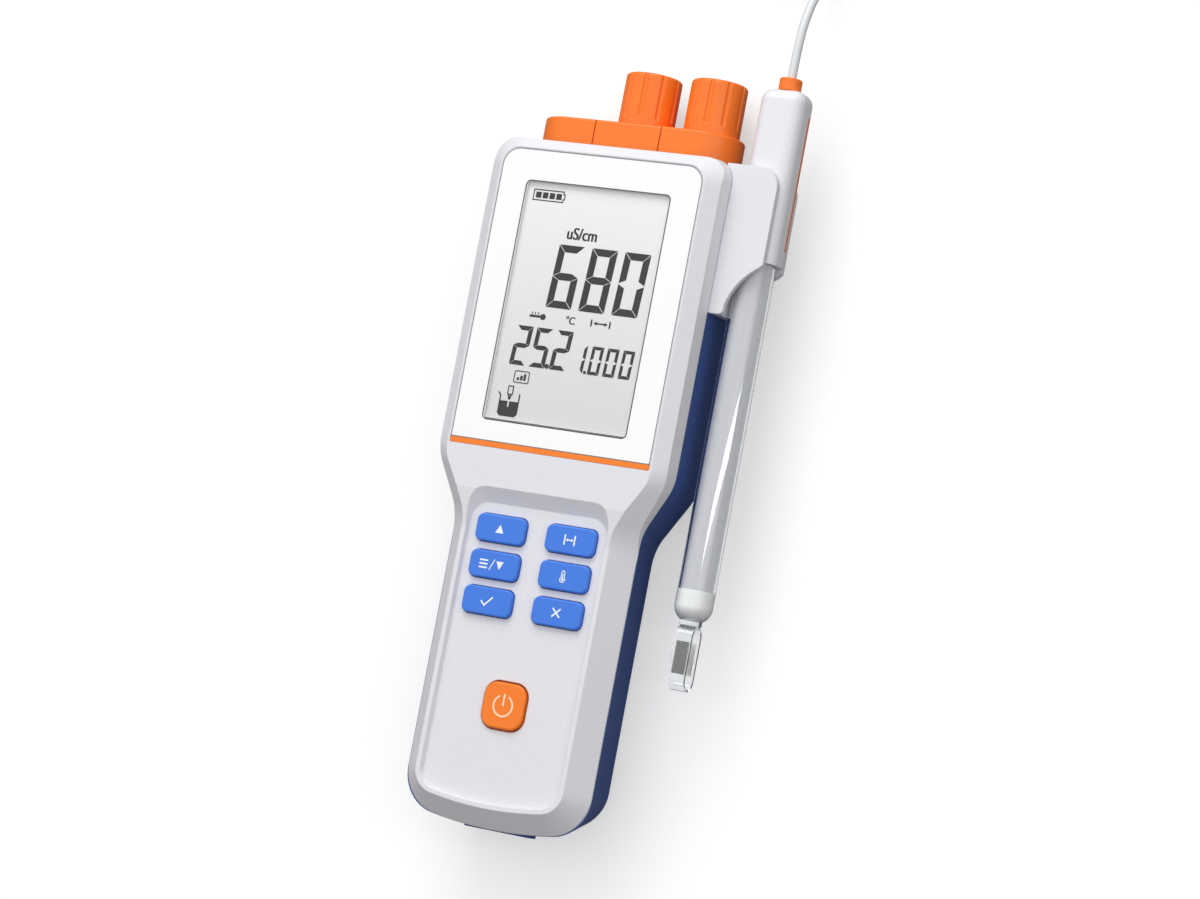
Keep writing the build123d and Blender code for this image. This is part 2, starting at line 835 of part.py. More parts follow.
def handle_block():
    """Handle with domed shoulders."""
    block = bar(RectangleRounded(handle_width, handle_deep, handle_corner), probe_x, probe_z,
                handle_low, handle_high)
    return fillet(block.faces().sort_by(Axis.Y)[-1].edges(), shoulder_round)


def stripe_space():
    """Groove for the stripe in the outer side of the handle."""
    middle = probe_z + stripe_offset
    return box_between(probe_x + handle_width / 2 - stripe_deep, probe_x + handle_width, stripe_low,
                       stripe_high, middle - stripe_width / 2, middle + stripe_width / 2)


def probe_handle():
    """Handle with a plug at its lower end that goes into the sleeve of the tube."""
    plug_fit = tube_radius - tube_wall - sleeve_wall - 2 * fit
    plug = rod(probe_x, probe_z, plug_fit, handle_low - handle_plug, handle_low)
    return handle_block() - stripe_space() + plug


def handle_stripe():
    """Stripe, flush in the side of the handle."""
    return handle_block() & stripe_space()


def probe_collar():
    """Collar where the cord leaves the handle."""
    collar = rod(probe_x, probe_z, collar_radius, handle_high, handle_high + collar_height)
    return fillet(collar.faces().sort_by(Axis.Y)[-1].edges(), collar_edge)


def tube_profile(radius, top, shoulder_y, neck_r, neck_y, low_y):
    """Closed half profile of a round-ended tube about an axis along Y."""
    line = Polyline((0, top), (radius, top), (radius, shoulder_y))
    arc = TangentArc((radius, shoulder_y), (neck_r, neck_y), tangent=(0, -1))
    foot = Polyline((neck_r, neck_y), (neck_r, low_y), (0, low_y), (0, top))
    return make_face(line + arc + foot)


def tube_solid(inset):
    """Outer or inner form of the glass tube."""
    low = neck_end if inset == 0 else tube_end + inset
    neck = neck_radius if inset == 0 else bulb_end_radius
    neck_y = tube_end if inset == 0 else low + bulb_end_rise
    face = tube_profile(tube_radius - inset, handle_low, tube_end + tube_shoulder, neck, neck_y, low)
    return Pos(probe_x, 0, probe_z) * revolve(face, Axis.Y)


def probe_tube():
    """Clear outer tube with a round shoulder and a short neck."""
    return tube_solid(0) - tube_solid(tube_wall)


def tube_sleeve():
    """Opaque sleeve inside the tube."""
    outer = tube_radius - tube_wall - fit
    return rod(probe_x, probe_z, outer, sleeve_end, handle_low) - rod(
        probe_x, probe_z, outer - sleeve_wall, sleeve_end - 1, handle_low + 1)


def cell_seal():
    """Pale seal that fills the end of the tube below the sleeve."""
    return tube_solid(tube_wall) & rod(probe_x, probe_z, tube_radius, neck_end, sleeve_end)


def probe_leads():
    """Four wires inside the sleeve, from the seal to the handle."""
    return group_of([rod(probe_x + dx, probe_z + dz, lead_radius, sleeve_end, handle_low - handle_plug)
                     for dx, dz in ring_of(4, lead_circle)])


def cell_guard():
    """Flat loop under the neck that lets the sample through from side to side."""
    length = neck_end - guard_end
    ring = stadium(guard_deep / 2, length)
    ring -= stadium(guard_deep / 2 - guard_wall, length - 2 * guard_wall)
    loop = extrude(ring, guard_width)
    return Pos(probe_x - guard_width / 2, (neck_end + guard_end) / 2, probe_z) * Rot(0, 90, 0) * loop


def electrode_plates():
    """Pair of bright plates on the inner faces of the loop."""
    reach = guard_deep / 2 - guard_wall
    middle = (neck_end + guard_end) / 2
    half = electrode_length / 2
    return group_of([box_between(probe_x - electrode_half, probe_x + electrode_half, middle - half,
                                 middle + half, probe_z + low, probe_z + low + electrode_thickness)
                     for low in (-reach, reach - electrode_thickness)])


# Cord, coil and plug

def corner_radii(points):
    """Largest radius for each corner: 0.45 of its shorter run over the tangent of half its turn."""
    radii = []
    for before, here, after in zip(points, points[1:], points[2:]):
        run_in = Vector(*here) - Vector(*before)
        run_out = Vector(*after) - Vector(*here)
        turn = math.radians(run_in.get_angle(run_out))
        radii.append(0.45 * min(run_in.length, run_out.length) / math.tan(turn / 2))
    return radii


def cord_tube(points, label):
    """Round tube along straight runs joined by tangent arcs."""
    radii = corner_radii(points)
    path = FilletPolyline(*points, radius=radii)
    start = Plane(origin=points[0], z_dir=Vector(*points[1]) - Vector(*points[0]))
    tube = sweep(start * Circle(cord_radius), path=path)
    ratio = tube.volume / (math.pi * cord_radius ** 2 * path.length)
    print(label, "length", round(path.length, 1), "volume ratio", round(ratio, 4),
          "radii", [round(r, 1) for r in radii])
    return tube


coil_x = probe_x - coil_mid_radius - cord_radius
coil_y = cord_points[-1][1]
coil_outer = coil_mid_radius + cord_radius * coil_columns
coil_inner = coil_mid_radius - cord_radius * coil_columns
coil_height = 2 * cord_radius * coil_layers


def cord_coil():
    """Outer shape of the neat round coil."""
    ring = post(coil_x, coil_y, coil_outer, coil_lift, coil_lift + coil_height)
    ring -= post(coil_x, coil_y, coil_inner, 0, coil_lift + coil_height + 1)
    return fillet(ring.edges().filter_by(GeomType.CIRCLE), coil_edge)


def along_x(points, y, z):
    """Turned piece on an axis along X, from (x, radius) points of its half profile."""
    return Pos(0, y, z) * revolve(make_face(Polyline(*points, close=True)), Axis.X)


def plug_boot():
    """Tapered strain relief of the plug, with shallow rings."""
    x, y, z = tail_points[-1]
    end = x - boot_length
    boot = along_x([(x, 0), (x, boot_thin_radius), (end, boot_thick_radius), (end, 0)], y, z)
    for i in range(boot_rings):
        cut = x - boot_ring_pitch * (i + 1)
        boot -= along_x([(cut, boot_thin_radius), (cut, plug_radius), (cut - boot_ring_width, plug_radius),
                         (cut - boot_ring_width, boot_thin_radius)], y, z)
    return boot


def plug_body():
    """Grip of the plug, with flutes along it."""
    x, y, z = tail_points[-1]
    start = x - boot_length
    body = along_x([(start, 0), (start, plug_radius - 1.2), (start - 1.4, plug_radius),
                    (start - plug_length + 0.6, plug_radius), (start - plug_length, plug_radius - 0.6),
                    (start - plug_length, 0)], y, z)
    for dy, dz in ring_of(plug_flutes, plug_radius + plug_flute_radius / 2):
        flute = extrude(Circle(plug_flute_radius), plug_length - 6.0)
        body -= Pos(start - 3.0, y + dy, z + dz) * Rot(0, -90, 0) * flute
    return body


def plug_end(section, length):
    """Piece that stands on the end of the plug's grip."""
    x, y, z = tail_points[-1]
    return Pos(x - boot_length - plug_length, y, z) * Rot(0, -90, 0) * extrude(section, length)


def plug_nose():
    """Metal nose of the plug, the size of a socket's mouth."""
    outer = socket_bore - fit
    return plug_end(Circle(outer) - Circle(outer - plug_nose_wall), plug_nose_length)


def plug_core():
    """Insulator inside the nose, with a hole for each pin."""
    disc = Circle(socket_bore - fit - plug_nose_wall)
    for dx, dy in ring_of(5, pin_circle):
        disc -= Pos(dx, dy) * Circle(pin_radius + fit)
    return plug_end(disc, plug_nose_length - core_recess)


# Built pieces, by node name
rear_outside = rear_body()
parts = {
    "front_shell": front_shell(),
    "rear_shell": rear_shell(rear_outside),
    "shell_gasket": gasket(),
    "front_panel": front_panel(),
    "display_window": display_window(),
    "accent_strip": accent_strip(),
    "lcd_cell": lcd_cell(),
    "lcd_backlight": lcd_backlight(),
    "lcd_frame": lcd_frame(),
    "lcd_connector": lcd_connector(),
    "main_board": main_board(),
    "board_components": board_components(),
    "board_screws": screws_up(board_screw_sites, board_low_z, board_top_z + screw_bite),
    "case_screws": screws_up(case_screw_sites, case_seat_z, split_z + screw_bite),
    "keypad_mat": keypad_mat(),
    "power_key": key_cap(power_size, power_size, power_corner, power_proud, 0, power_y),
    "socket_board": socket_board(),
    "conductivity_socket": socket(0, 5),
    "conductivity_pins": group_of(pin_rods(0, 5)),
    "conductivity_cap": socket_cap(0),
    "temperature_socket": socket(socket_pitch, 3),
    "temperature_pins": group_of(pin_rods(socket_pitch, 3)),
    "temperature_cap": socket_cap(socket_pitch),
    "battery_plates": battery_plates(),
    "battery_springs": battery_springs(),
    "battery_door": battery_door(rear_outside),
    "probe_holder": probe_holder(rear_outside),
    "holder_screws": holder_screws(),
    "probe_handle": probe_handle(),
    "handle_stripe": handle_stripe(),
    "probe_collar": probe_collar(),
    "probe_tube": probe_tube(),
    "tube_sleeve": tube_sleeve(),
    "cell_seal": cell_seal(),
    "probe_leads": probe_leads(),
    "cell_guard": cell_guard(),
    "electrode_plates": electrode_plates(),
    "probe_cord": cord_tube(cord_points, "cord"),
    "cord_coil": cord_coil(),
    "plug_cord": cord_tube(tail_points, "tail"),
    "plug_boot": plug_boot(),
    "plug_body": plug_body(),
    "plug_nose": plug_nose(),
    "plug_core": plug_core(),
}
for (x, row), name in zip(both_sides([(key_column, y) for y in key_rows]), key_names):
    parts[name] = key_cap(key_width, key_height, key_corner, key_proud, x, row)
seam = socket_pitch / 2
for name, low_x, high_x in (("header_left", -header_half, -seam - header_slot / 2),
                            ("header_centre", -seam + header_slot / 2, seam - header_slot / 2),
                            ("header_right", seam + header_slot / 2, header_half)):
    parts[name] = header_piece(low_x, high_x)
parts["header_centre"] -= header_bore(0)
parts["header_right"] -= header_bore(socket_pitch)
for index in range(cells):
    parts[f"battery_cell_{index + 1}"] = battery_cell(index)

os.makedirs("parts", exist_ok=True)
for name, piece in parts.items():
    export_step(piece, f"parts/{name}.step")
print(len(parts), "nodes written")
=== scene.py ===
"""Looks of a handheld conductivity meter that lies on its back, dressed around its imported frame."""

import logging
import math
from dataclasses import dataclass, field
from enum import Enum

import bmesh
import bpy
from mathutils import Matrix, Vector


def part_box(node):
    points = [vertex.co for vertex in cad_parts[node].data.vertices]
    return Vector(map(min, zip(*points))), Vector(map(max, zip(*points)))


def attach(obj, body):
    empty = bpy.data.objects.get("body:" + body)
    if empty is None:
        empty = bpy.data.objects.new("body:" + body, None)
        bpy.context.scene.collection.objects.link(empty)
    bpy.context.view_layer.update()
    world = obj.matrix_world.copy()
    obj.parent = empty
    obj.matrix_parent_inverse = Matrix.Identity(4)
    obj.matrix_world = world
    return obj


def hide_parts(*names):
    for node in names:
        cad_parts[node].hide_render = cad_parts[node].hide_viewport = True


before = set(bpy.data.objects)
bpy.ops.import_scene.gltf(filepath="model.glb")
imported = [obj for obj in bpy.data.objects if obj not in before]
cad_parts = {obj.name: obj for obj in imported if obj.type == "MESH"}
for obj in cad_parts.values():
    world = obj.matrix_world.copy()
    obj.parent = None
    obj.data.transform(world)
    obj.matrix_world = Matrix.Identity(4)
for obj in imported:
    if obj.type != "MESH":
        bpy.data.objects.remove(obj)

log = logging.getLogger("meter")

Colour = tuple[float, float, float]
Point = tuple[float, float]
Place = tuple[float, float, float]

MM = 0.001
HOUSING = "housing"
PROBE = "probe"


def linear(colour: Colour, alpha: float = 1.0) -> tuple[float, float, float, float]:
    """Turns a colour written as 0 to 255 screen values into the light values that shaders use.

    Args:
        colour: Red, green and blue, 0 to 255.
        alpha: Cover that goes with the colour.

    Returns:
        Red, green, blue and alpha as light values.
    """
    shares = [value / 255 for value in colour]
    light = [s / 12.92 if s <= 0.04045 else ((s + 0.055) / 1.055) ** 2.4 for s in shares]
    return (light[0], light[1], light[2], alpha)


class Graph:
    """Adds nodes to one node tree and wires them."""

    def __init__(self, tree: bpy.types.NodeTree) -> None:
        """Keeps the tree that the nodes go into."""
        self.tree = tree

    def node(self, kind: str, inputs: dict | None = None, **settings: object) -> bpy.types.Node:
        """Adds a node.

        Args:
            kind: Blender's type name of the node.
            inputs: Values for its sockets, by socket name or number.
            settings: Values for its own properties.

        Returns:
            The new node.
        """
        made = self.tree.nodes.new(kind)
        for name, value in settings.items():
            setattr(made, name, value)
        for name, value in (inputs or {}).items():
            if isinstance(value, bpy.types.NodeSocket):
                self.link(value, made.inputs[name])
            else:
                made.inputs[name].default_value = value
        return made

    def link(self, source: bpy.types.NodeSocket, target: bpy.types.NodeSocket) -> None:
        """Wires one socket to another."""
        self.tree.links.new(source, target)

    def sum(self, operation: str, first: object, second: object) -> bpy.types.NodeSocket:
        """Adds a math node and returns its result."""
        return self.node("ShaderNodeMath", {0: first, 1: second}, operation=operation).outputs[0]

    def blend(self, share: object, first: object, second: object) -> bpy.types.NodeSocket:
        """Mixes two colours by a share and returns the mixed colour."""
        mix = self.node("ShaderNodeMix", {0: share, 6: first, 7: second}, data_type="RGBA")
        return mix.outputs[2]


def new_group(name: str, kind: str, inputs: dict[str, tuple[str, object]],
              outputs: dict[str, str]) -> tuple[Graph, bpy.types.Node, bpy.types.Node]:
    """Starts a node group with named sockets.

    Args:
        name: Name of the group.
        kind: Type of the tree.
        inputs: Socket type and default value by input name.
        outputs: Socket type by output name.

    Returns:
        The group's graph, its input node and its output node.
    """
    tree = bpy.data.node_groups.new(name, kind)
    for label, (socket_kind, value) in inputs.items():
        made = tree.interface.new_socket(label, in_out="INPUT", socket_type=socket_kind)
        if value is not None:
            made.default_value = value
    for label, socket_kind in outputs.items():
        tree.interface.new_socket(label, in_out="OUTPUT", socket_type=socket_kind)
    graph = Graph(tree)
    return graph, graph.node("NodeGroupInput"), graph.node("NodeGroupOutput")


# Effects that several finishes share

def moulded_grain() -> bpy.types.NodeTree:
    """Makes the shader group for the spark-eroded grain of a moulding.

    Returns:
        A group that gives the grain's height and a faint tone between its hollows and crowns.
    """
    graph, given, result = new_group(
        "moulded_grain", "ShaderNodeTree",
        {"Vector": ("NodeSocketVector", None), "Scale": ("NodeSocketFloat", 2600.0)},
        {"Height": "NodeSocketFloat", "Tone": "NodeSocketFloat"})
    noise = graph.node("ShaderNodeTexNoise", {
        "Vector": given.outputs["Vector"], "Scale": given.outputs["Scale"], "Detail": 2.0, "Roughness": 0.55})
    finer = graph.sum("MULTIPLY", given.outputs["Scale"], 1.7)
    cells = graph.node("ShaderNodeTexVoronoi", {"Vector": given.outputs["Vector"], "Scale": finer},
                       feature="SMOOTH_F1")
    pits = graph.sum("MULTIPLY", cells.outputs["Distance"], 0.6)
    height = graph.sum("ADD", noise.outputs["Fac"], pits)
    graph.link(height, result.inputs["Height"])
    tone = graph.node("ShaderNodeMapRange", {"Value": noise.outputs["Fac"], "From Min": 0.3, "From Max": 0.7})
    graph.link(tone.outputs[0], result.inputs["Tone"])
    return graph.tree


def handled_patches() -> bpy.types.NodeTree:
    """Makes the shader group for the slow change of gloss that handling leaves.

    Returns:
        A group that gives a soft mask.
    """
    graph, given, result = new_group(
        "handled_patches", "ShaderNodeTree",
        {"Vector": ("NodeSocketVector", None), "Scale": ("NodeSocketFloat", 45.0)},
        {"Mask": "NodeSocketFloat"})
    noise = graph.node("ShaderNodeTexNoise", {
        "Vector": given.outputs["Vector"], "Scale": given.outputs["Scale"], "Detail": 3.0})
    mask = graph.node("ShaderNodeMapRange", {
        "Value": noise.outputs["Fac"], "From Min": 0.35, "From Max": 0.7}, interpolation_type="SMOOTHSTEP")
    graph.link(mask.outputs[0], result.inputs["Mask"])
    return graph.tree


# Finishes

@dataclass(frozen=True)
class Finish:
    """One surface finish, which makes its own material."""

    name: str
    colour: Colour

    def start(self) -> tuple[bpy.types.Material, Graph, bpy.types.Node, bpy.types.NodeSocket]:
        """Starts the material.

        Returns:
            The material, its graph, its main shader and the piece's own coordinates.
        """
        material = bpy.data.materials.new(self.name)
        material.use_nodes = True
        graph = Graph(material.node_tree)
        shader = material.node_tree.nodes["Principled BSDF"]
        shader.inputs["Base Color"].default_value = linear(self.colour)
        where = graph.node("ShaderNodeTexCoord").outputs["Object"]
        return material, graph, shader, where

    def shine(self, graph: Graph, shader: bpy.types.Node, mask: bpy.types.NodeSocket, low: float,
              high: float) -> None:
        """Lets the roughness follow a mask from a low to a high value."""
        gloss = graph.node("ShaderNodeMapRange", {"Value": mask, "To Min": low, "To Max": high})
        graph.link(gloss.outputs[0], shader.inputs["Roughness"])

    def build(self) -> bpy.types.Material:
        """Returns the finished material."""
        raise NotImplementedError


@dataclass(frozen=True)
class Moulding(Finish):
    """Moulded plastic or rubber with a grain."""

    roughness: float = 0.5
    grain: float = 2600.0
    relief: float = 0.02
    contrast: float = 0.05
    edge: float = 0.0

    def build(self) -> bpy.types.Material:
        """Returns plastic whose colour, gloss and relief follow its grain and its handling."""
        material, graph, shader, where = self.start()
        grain = graph.node("ShaderNodeGroup", node_tree=Shared.GRAIN.tree())
        graph.link(where, grain.inputs["Vector"])
        grain.inputs["Scale"].default_value = self.grain
        patches = graph.node("ShaderNodeGroup", node_tree=Shared.PATCHES.tree())
        graph.link(where, patches.inputs["Vector"])
        deeper = tuple(value * (1 - self.contrast) for value in self.colour)
        colour = graph.blend(grain.outputs["Tone"], linear(deeper), linear(self.colour))
        graph.link(colour, shader.inputs["Base Color"])
        self.shine(graph, shader, patches.outputs["Mask"], self.roughness - 0.04, self.roughness + 0.05)
        bump = graph.node("ShaderNodeBump", {"Strength": 1.0, "Distance": self.relief * MM,
                                             "Height": grain.outputs["Height"]})
        graph.link(bump.outputs[0], shader.inputs["Normal"])
        if self.edge:
            softened = graph.node("ShaderNodeBevel", {"Radius": self.edge * MM}, samples=4)
            graph.link(softened.outputs[0], bump.inputs["Normal"])
        return material


@dataclass(frozen=True)
class Polished(Finish):
    """Smooth gloss plastic with the slow waves of a thin sheet."""

    roughness: float = 0.12
    wave: float = 60.0
    alpha: float = 1.0

    def build(self) -> bpy.types.Material:
        """Returns gloss plastic, clear where alpha is under 1."""
        material, graph, shader, where = self.start()
        waves = graph.node("ShaderNodeTexNoise", {"Vector": where, "Scale": self.wave, "Detail": 1.0})
        bump = graph.node("ShaderNodeBump", {"Strength": 0.15, "Distance": 0.05 * MM,
                                             "Height": waves.outputs["Fac"]})
        graph.link(bump.outputs[0], shader.inputs["Normal"])
        self.shine(graph, shader, waves.outputs["Fac"], self.roughness * 0.8, self.roughness * 1.2)
        shader.inputs["Alpha"].default_value = self.alpha
        return material


@dataclass(frozen=True)
class Glass(Finish):
    """Clear glass, drawn from a tube."""

    roughness: float = 0.02
    index: float = 1.47

    def build(self) -> bpy.types.Material:
        """Returns glass with the faint lengthwise ripple of drawn tube, which holds no light back."""
        material, graph, shader, where = self.start()
        shader.inputs["Transmission Weight"].default_value = 1.0
        shader.inputs["IOR"].default_value = self.index
        shader.inputs["Roughness"].default_value = self.roughness
        stretched = graph.node("ShaderNodeMapping", {"Vector": where, "Scale": (1.0, 0.05, 1.0)})
        ripple = graph.node("ShaderNodeTexNoise", {
            "Vector": stretched.outputs[0], "Scale": 500.0, "Detail": 1.0})
        bump = graph.node("ShaderNodeBump", {"Strength": 0.1, "Distance": 0.01 * MM,
                                             "Height": ripple.outputs["Fac"]})
        graph.link(bump.outputs[0], shader.inputs["Normal"])
        seen = graph.node("ShaderNodeLightPath").outputs
        passing = graph.sum("MAXIMUM", seen["Is Shadow Ray"], seen["Is Diffuse Ray"])
        graph.link(graph.sum("SUBTRACT", 1.0, passing), shader.inputs["Alpha"])
        return material


@dataclass(frozen=True)
class Metal(Finish):
    """Plated or plain metal with fine drawn lines."""

    roughness: float = 0.3
    lines: float = 1800.0

    def build(self) -> bpy.types.Material:
        """Returns metal whose gloss and relief follow fine lines."""
        material, graph, shader, where = self.start()
        shader.inputs["Metallic"].default_value = 1.0
        stretched = graph.node("ShaderNodeMapping", {"Vector": where, "Scale": (1.0, 0.08, 1.0)})
        lines = graph.node("ShaderNodeTexNoise", {"Vector": stretched.outputs[0], "Scale": self.lines,
                                                  "Detail": 2.0})
        self.shine(graph, shader, lines.outputs["Fac"], self.roughness * 0.7, self.roughness * 1.3)
        bump = graph.node("ShaderNodeBump", {"Strength": 0.3, "Distance": 0.01 * MM,
                                             "Height": lines.outputs["Fac"]})
        graph.link(bump.outputs[0], shader.inputs["Normal"])
        return material


@dataclass(frozen=True)
class Screen(Finish):
    """Reflective display glass, with painted shade that darkens it towards its lower edge."""

    # lower is the painted-shade colour at the display's lower edge; colour is the paler one at its top
    lower: Colour = (219, 220, 221)
    low_y: float = 17.0
    high_y: float = 93.0

    def build(self) -> bpy.types.Material:
        """Returns the display's background, with the painted shade of its slow gradient and the speckle of
        its polariser.
        """
        material, graph, shader, where = self.start()
        # painted shade: the background runs from the lower colour at low_y to the paler colour at high_y
        split = graph.node("ShaderNodeSeparateXYZ", {0: where})
        share = graph.node("ShaderNodeMapRange", {"Value": split.outputs["Y"], "From Min": self.low_y * MM,
                                                  "From Max": self.high_y * MM})
        colour = graph.blend(share.outputs[0], linear(self.lower), linear(self.colour))
        speckle = graph.node("ShaderNodeTexNoise", {"Vector": where, "Scale": 9000.0, "Detail": 0.0})
        faint = graph.sum("MULTIPLY", speckle.outputs["Fac"], 0.06)
        graph.link(graph.blend(faint, colour, linear(self.lower)), shader.inputs["Base Color"])
        shader.inputs["Roughness"].default_value = 0.45
        return material


@dataclass(frozen=True)
class Circuit(Finish):
    """Solder mask with the tracks that run under it."""

    track: Colour = (40, 118, 70)

    def build(self) -> bpy.types.Material:
        """Returns a board's green mask with paler tracks."""
        material, graph, shader, where = self.start()
        brick = graph.node("ShaderNodeTexBrick", {
            "Vector": where, "Scale": 260.0, "Mortar Size": 0.04, "Color1": linear(self.colour),
            "Color2": linear(self.colour), "Mortar": linear(self.track)})
        graph.link(brick.outputs["Color"], shader.inputs["Base Color"])
        shader.inputs["Roughness"].default_value = 0.35
        return material


@dataclass(frozen=True)
class Jacket(Finish):
    """Battery cell's jacket with a copper-coloured end."""

    band: Colour = (196, 128, 70)
    band_from: float = -48.0

    def build(self) -> bpy.types.Material:
        """Returns a dark jacket with one plain band and no words."""
        material, graph, shader, where = self.start()
        split = graph.node("ShaderNodeSeparateXYZ", {0: where})
        edge = graph.sum("GREATER_THAN", split.outputs["Y"], self.band_from * MM)
        worn = graph.node("ShaderNodeTexNoise", {"Vector": where, "Scale": 300.0})
        self.shine(graph, shader, worn.outputs["Fac"], 0.2, 0.4)
        graph.link(graph.blend(edge, linear(self.colour), linear(self.band)), shader.inputs["Base Color"])
        shader.inputs["Metallic"].default_value = 0.4
        return material


class Shared(Enum):
    """Shader groups that are built once and used by several finishes."""

    GRAIN = "moulded_grain"
    PATCHES = "handled_patches"

    def tree(self) -> bpy.types.NodeTree:
        """Returns the group, which is built at its first use."""
        makers = {Shared.GRAIN: moulded_grain, Shared.PATCHES: handled_patches}
        return bpy.data.node_groups.get(self.value) or makers[self]()


SHELL_WHITE = Moulding("shell_white", (233, 232, 237), 0.48, 2300.0, 0.022, 0.035, 0.45)
REAR_BLUE = Moulding("rear_blue", (60, 90, 160), 0.45, 2300.0, 0.022, 0.06, 0.4)
PANEL_WHITE = Polished("panel_white", (253, 253, 254), 0.14)
WINDOW_CLEAR = Polished("window_clear", (225, 228, 230), 0.05, 30.0, 0.03)
ORANGE = Moulding("header_orange", (255, 124, 30), 0.38, 3200.0, 0.01, 0.03, 0.25)
STRIP_ORANGE = Polished("strip_orange", (253, 130, 34), 0.25)
POWER_ORANGE = Moulding("power_orange", (254, 128, 24), 0.34, 3600.0, 0.008, 0.02, 0.2)
KEY_BLUE = Moulding("key_blue", (62, 126, 232), 0.42, 3600.0, 0.008, 0.03, 0.2)
HOLDER_WHITE = Moulding("holder_white", (231, 231, 237), 0.36, 3600.0, 0.006, 0.02, 0.5)
HANDLE_WHITE = Moulding("handle_white", (235, 235, 240), 0.32, 3600.0, 0.006, 0.02)
SLEEVE_GREY = Moulding("sleeve_grey", (205, 205, 211), 0.30, 3000.0, 0.004, 0.02)
SEAL_WHITE = Moulding("seal_white", (246, 247, 247), 0.5, 2500.0, 0.01, 0.02)
CELL_GLASS = Glass("cell_glass", (250, 252, 252))
LCD_FACE = Screen("lcd_face", (246, 246, 247))
DIFFUSER = Polished("diffuser_white", (238, 240, 240), 0.4)
FRAME_GREY = Moulding("frame_grey", (215, 215, 217), 0.5)
ELASTOMER = Moulding("elastomer_pink", (214, 150, 158), 0.7)
BOARD_GREEN = Circuit("board_green", (22, 88, 52))
CHIP_BLACK = Moulding("chip_black", (28, 28, 31), 0.5, 4000.0, 0.01, 0.2)
SCREW_STEEL = Metal("screw_steel", (196, 197, 200), 0.32)
MAT_RUBBER = Moulding("mat_rubber", (168, 171, 175), 0.7, 3000.0, 0.01)
GASKET_RUBBER = Moulding("gasket_rubber", (40, 40, 43), 0.75)
SOCKET_BLACK = Moulding("socket_black", (48, 49, 53), 0.45, 3000.0, 0.01, 0.1)
PIN_GOLD = Metal("pin_gold", (222, 184, 104), 0.22)
CELL_JACKET = Jacket("cell_jacket", (44, 50, 60))
NICKEL = Metal("contact_nickel", (205, 203, 198), 0.25)
PLATINUM = Metal("platinum_plate", (236, 236, 236), 0.4)
WIRE_RED = Moulding("wire_red", (200, 80, 66), 0.5)
CORD_GREY = Moulding("cord_grey", (224, 227, 229), 0.42, 1500.0, 0.01, 0.02)
PLUG_GREY = Moulding("plug_grey", (84, 87, 93), 0.42, 3000.0, 0.012, 0.1)
PLUG_METAL = Metal("plug_metal", (206, 206, 208), 0.2)
INK_DARK = Moulding("ink_dark", (13, 13, 15), 0.8, 5000.0, 0.001, 0.1)
INK_LINE = Moulding("ink_line", (78, 79, 82), 0.5, 5000.0, 0.001, 0.1)
# painted shade: grey of the line round the panel that stands for the shadow in its seam with the shell
PANEL_SEAM_SHADE = Moulding("painted_seam_shade", (140, 141, 145), 0.5, 5000.0, 0.001, 0.1)
INK_WHITE = Moulding("ink_white", (248, 250, 252), 0.5, 5000.0, 0.001, 0.02)
INK_CREAM = Moulding("ink_cream", (255, 226, 192), 0.5, 5000.0, 0.001, 0.02)

NODE_FINISHES: dict[str, Finish] = {
    "front_shell": SHELL_WHITE, "rear_shell": REAR_BLUE, "shell_gasket": GASKET_RUBBER,
    "front_panel": PANEL_WHITE, "display_window": WINDOW_CLEAR, "accent_strip": STRIP_ORANGE,
    "lcd_cell": LCD_FACE, "lcd_backlight": DIFFUSER, "lcd_frame": FRAME_GREY, "lcd_connector": ELASTOMER,
    "main_board": BOARD_GREEN, "board_components": CHIP_BLACK, "board_screws": SCREW_STEEL,
    "case_screws": SCREW_STEEL, "keypad_mat": MAT_RUBBER, "power_key": POWER_ORANGE,
    "socket_board": BOARD_GREEN, "conductivity_socket": SOCKET_BLACK, "conductivity_pins": PIN_GOLD,
    "conductivity_cap": ORANGE, "temperature_socket": SOCKET_BLACK, "temperature_pins": PIN_GOLD,
    "temperature_cap": ORANGE, "header_left": ORANGE, "header_centre": ORANGE, "header_right": ORANGE,
    "battery_cell_1": CELL_JACKET, "battery_cell_2": CELL_JACKET, "battery_cell_3": CELL_JACKET,
    "battery_plates": NICKEL, "battery_springs": NICKEL, "battery_door": REAR_BLUE,
    "probe_holder": HOLDER_WHITE, "holder_screws": SCREW_STEEL, "probe_handle": HANDLE_WHITE,
    "handle_stripe": ORANGE, "probe_collar": ORANGE, "probe_tube": CELL_GLASS, "tube_sleeve": SLEEVE_GREY,
    "cell_seal": SEAL_WHITE, "probe_leads": WIRE_RED, "cell_guard": CELL_GLASS, "electrode_plates": PLATINUM,
    "probe_cord": CORD_GREY, "cord_coil": CORD_GREY, "plug_cord": CORD_GREY, "plug_boot": PLUG_GREY,
    "plug_body": PLUG_GREY, "plug_nose": PLUG_METAL, "plug_core": SOCKET_BLACK,
}


class Wardrobe:
    """Builds each finish once and puts it on pieces."""

    def __init__(self) -> None:
        """Starts with no material made."""
        self.made: dict[str, bpy.types.Material] = {}

    def material(self, finish: Finish) -> bpy.types.Material:
        """Returns the material of a finish, built at its first use."""
        if finish.name not in self.made:
            self.made[finish.name] = finish.build()
        return self.made[finish.name]

    def dress(self, piece: bpy.types.Object, finish: Finish) -> None:
        """Puts a finish on a piece in place of what it wears."""
        piece.data.materials.clear()
        piece.data.materials.append(self.material(finish))

    def dress_nodes(self, finishes: dict[str, Finish]) -> None:
        """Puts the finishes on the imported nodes, by node name."""
        for name, finish in finishes.items():
            self.dress(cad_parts[name], finish)
            log.info("node %s wears %s", name, finish.name)


def add_object(name: str, data: bpy.types.ID) -> bpy.types.Object:
    """Makes an object for a mesh or curve and links it to the scene."""
    piece = bpy.data.objects.new(name, data)
    bpy.context.scene.collection.objects.link(piece)
    return piece


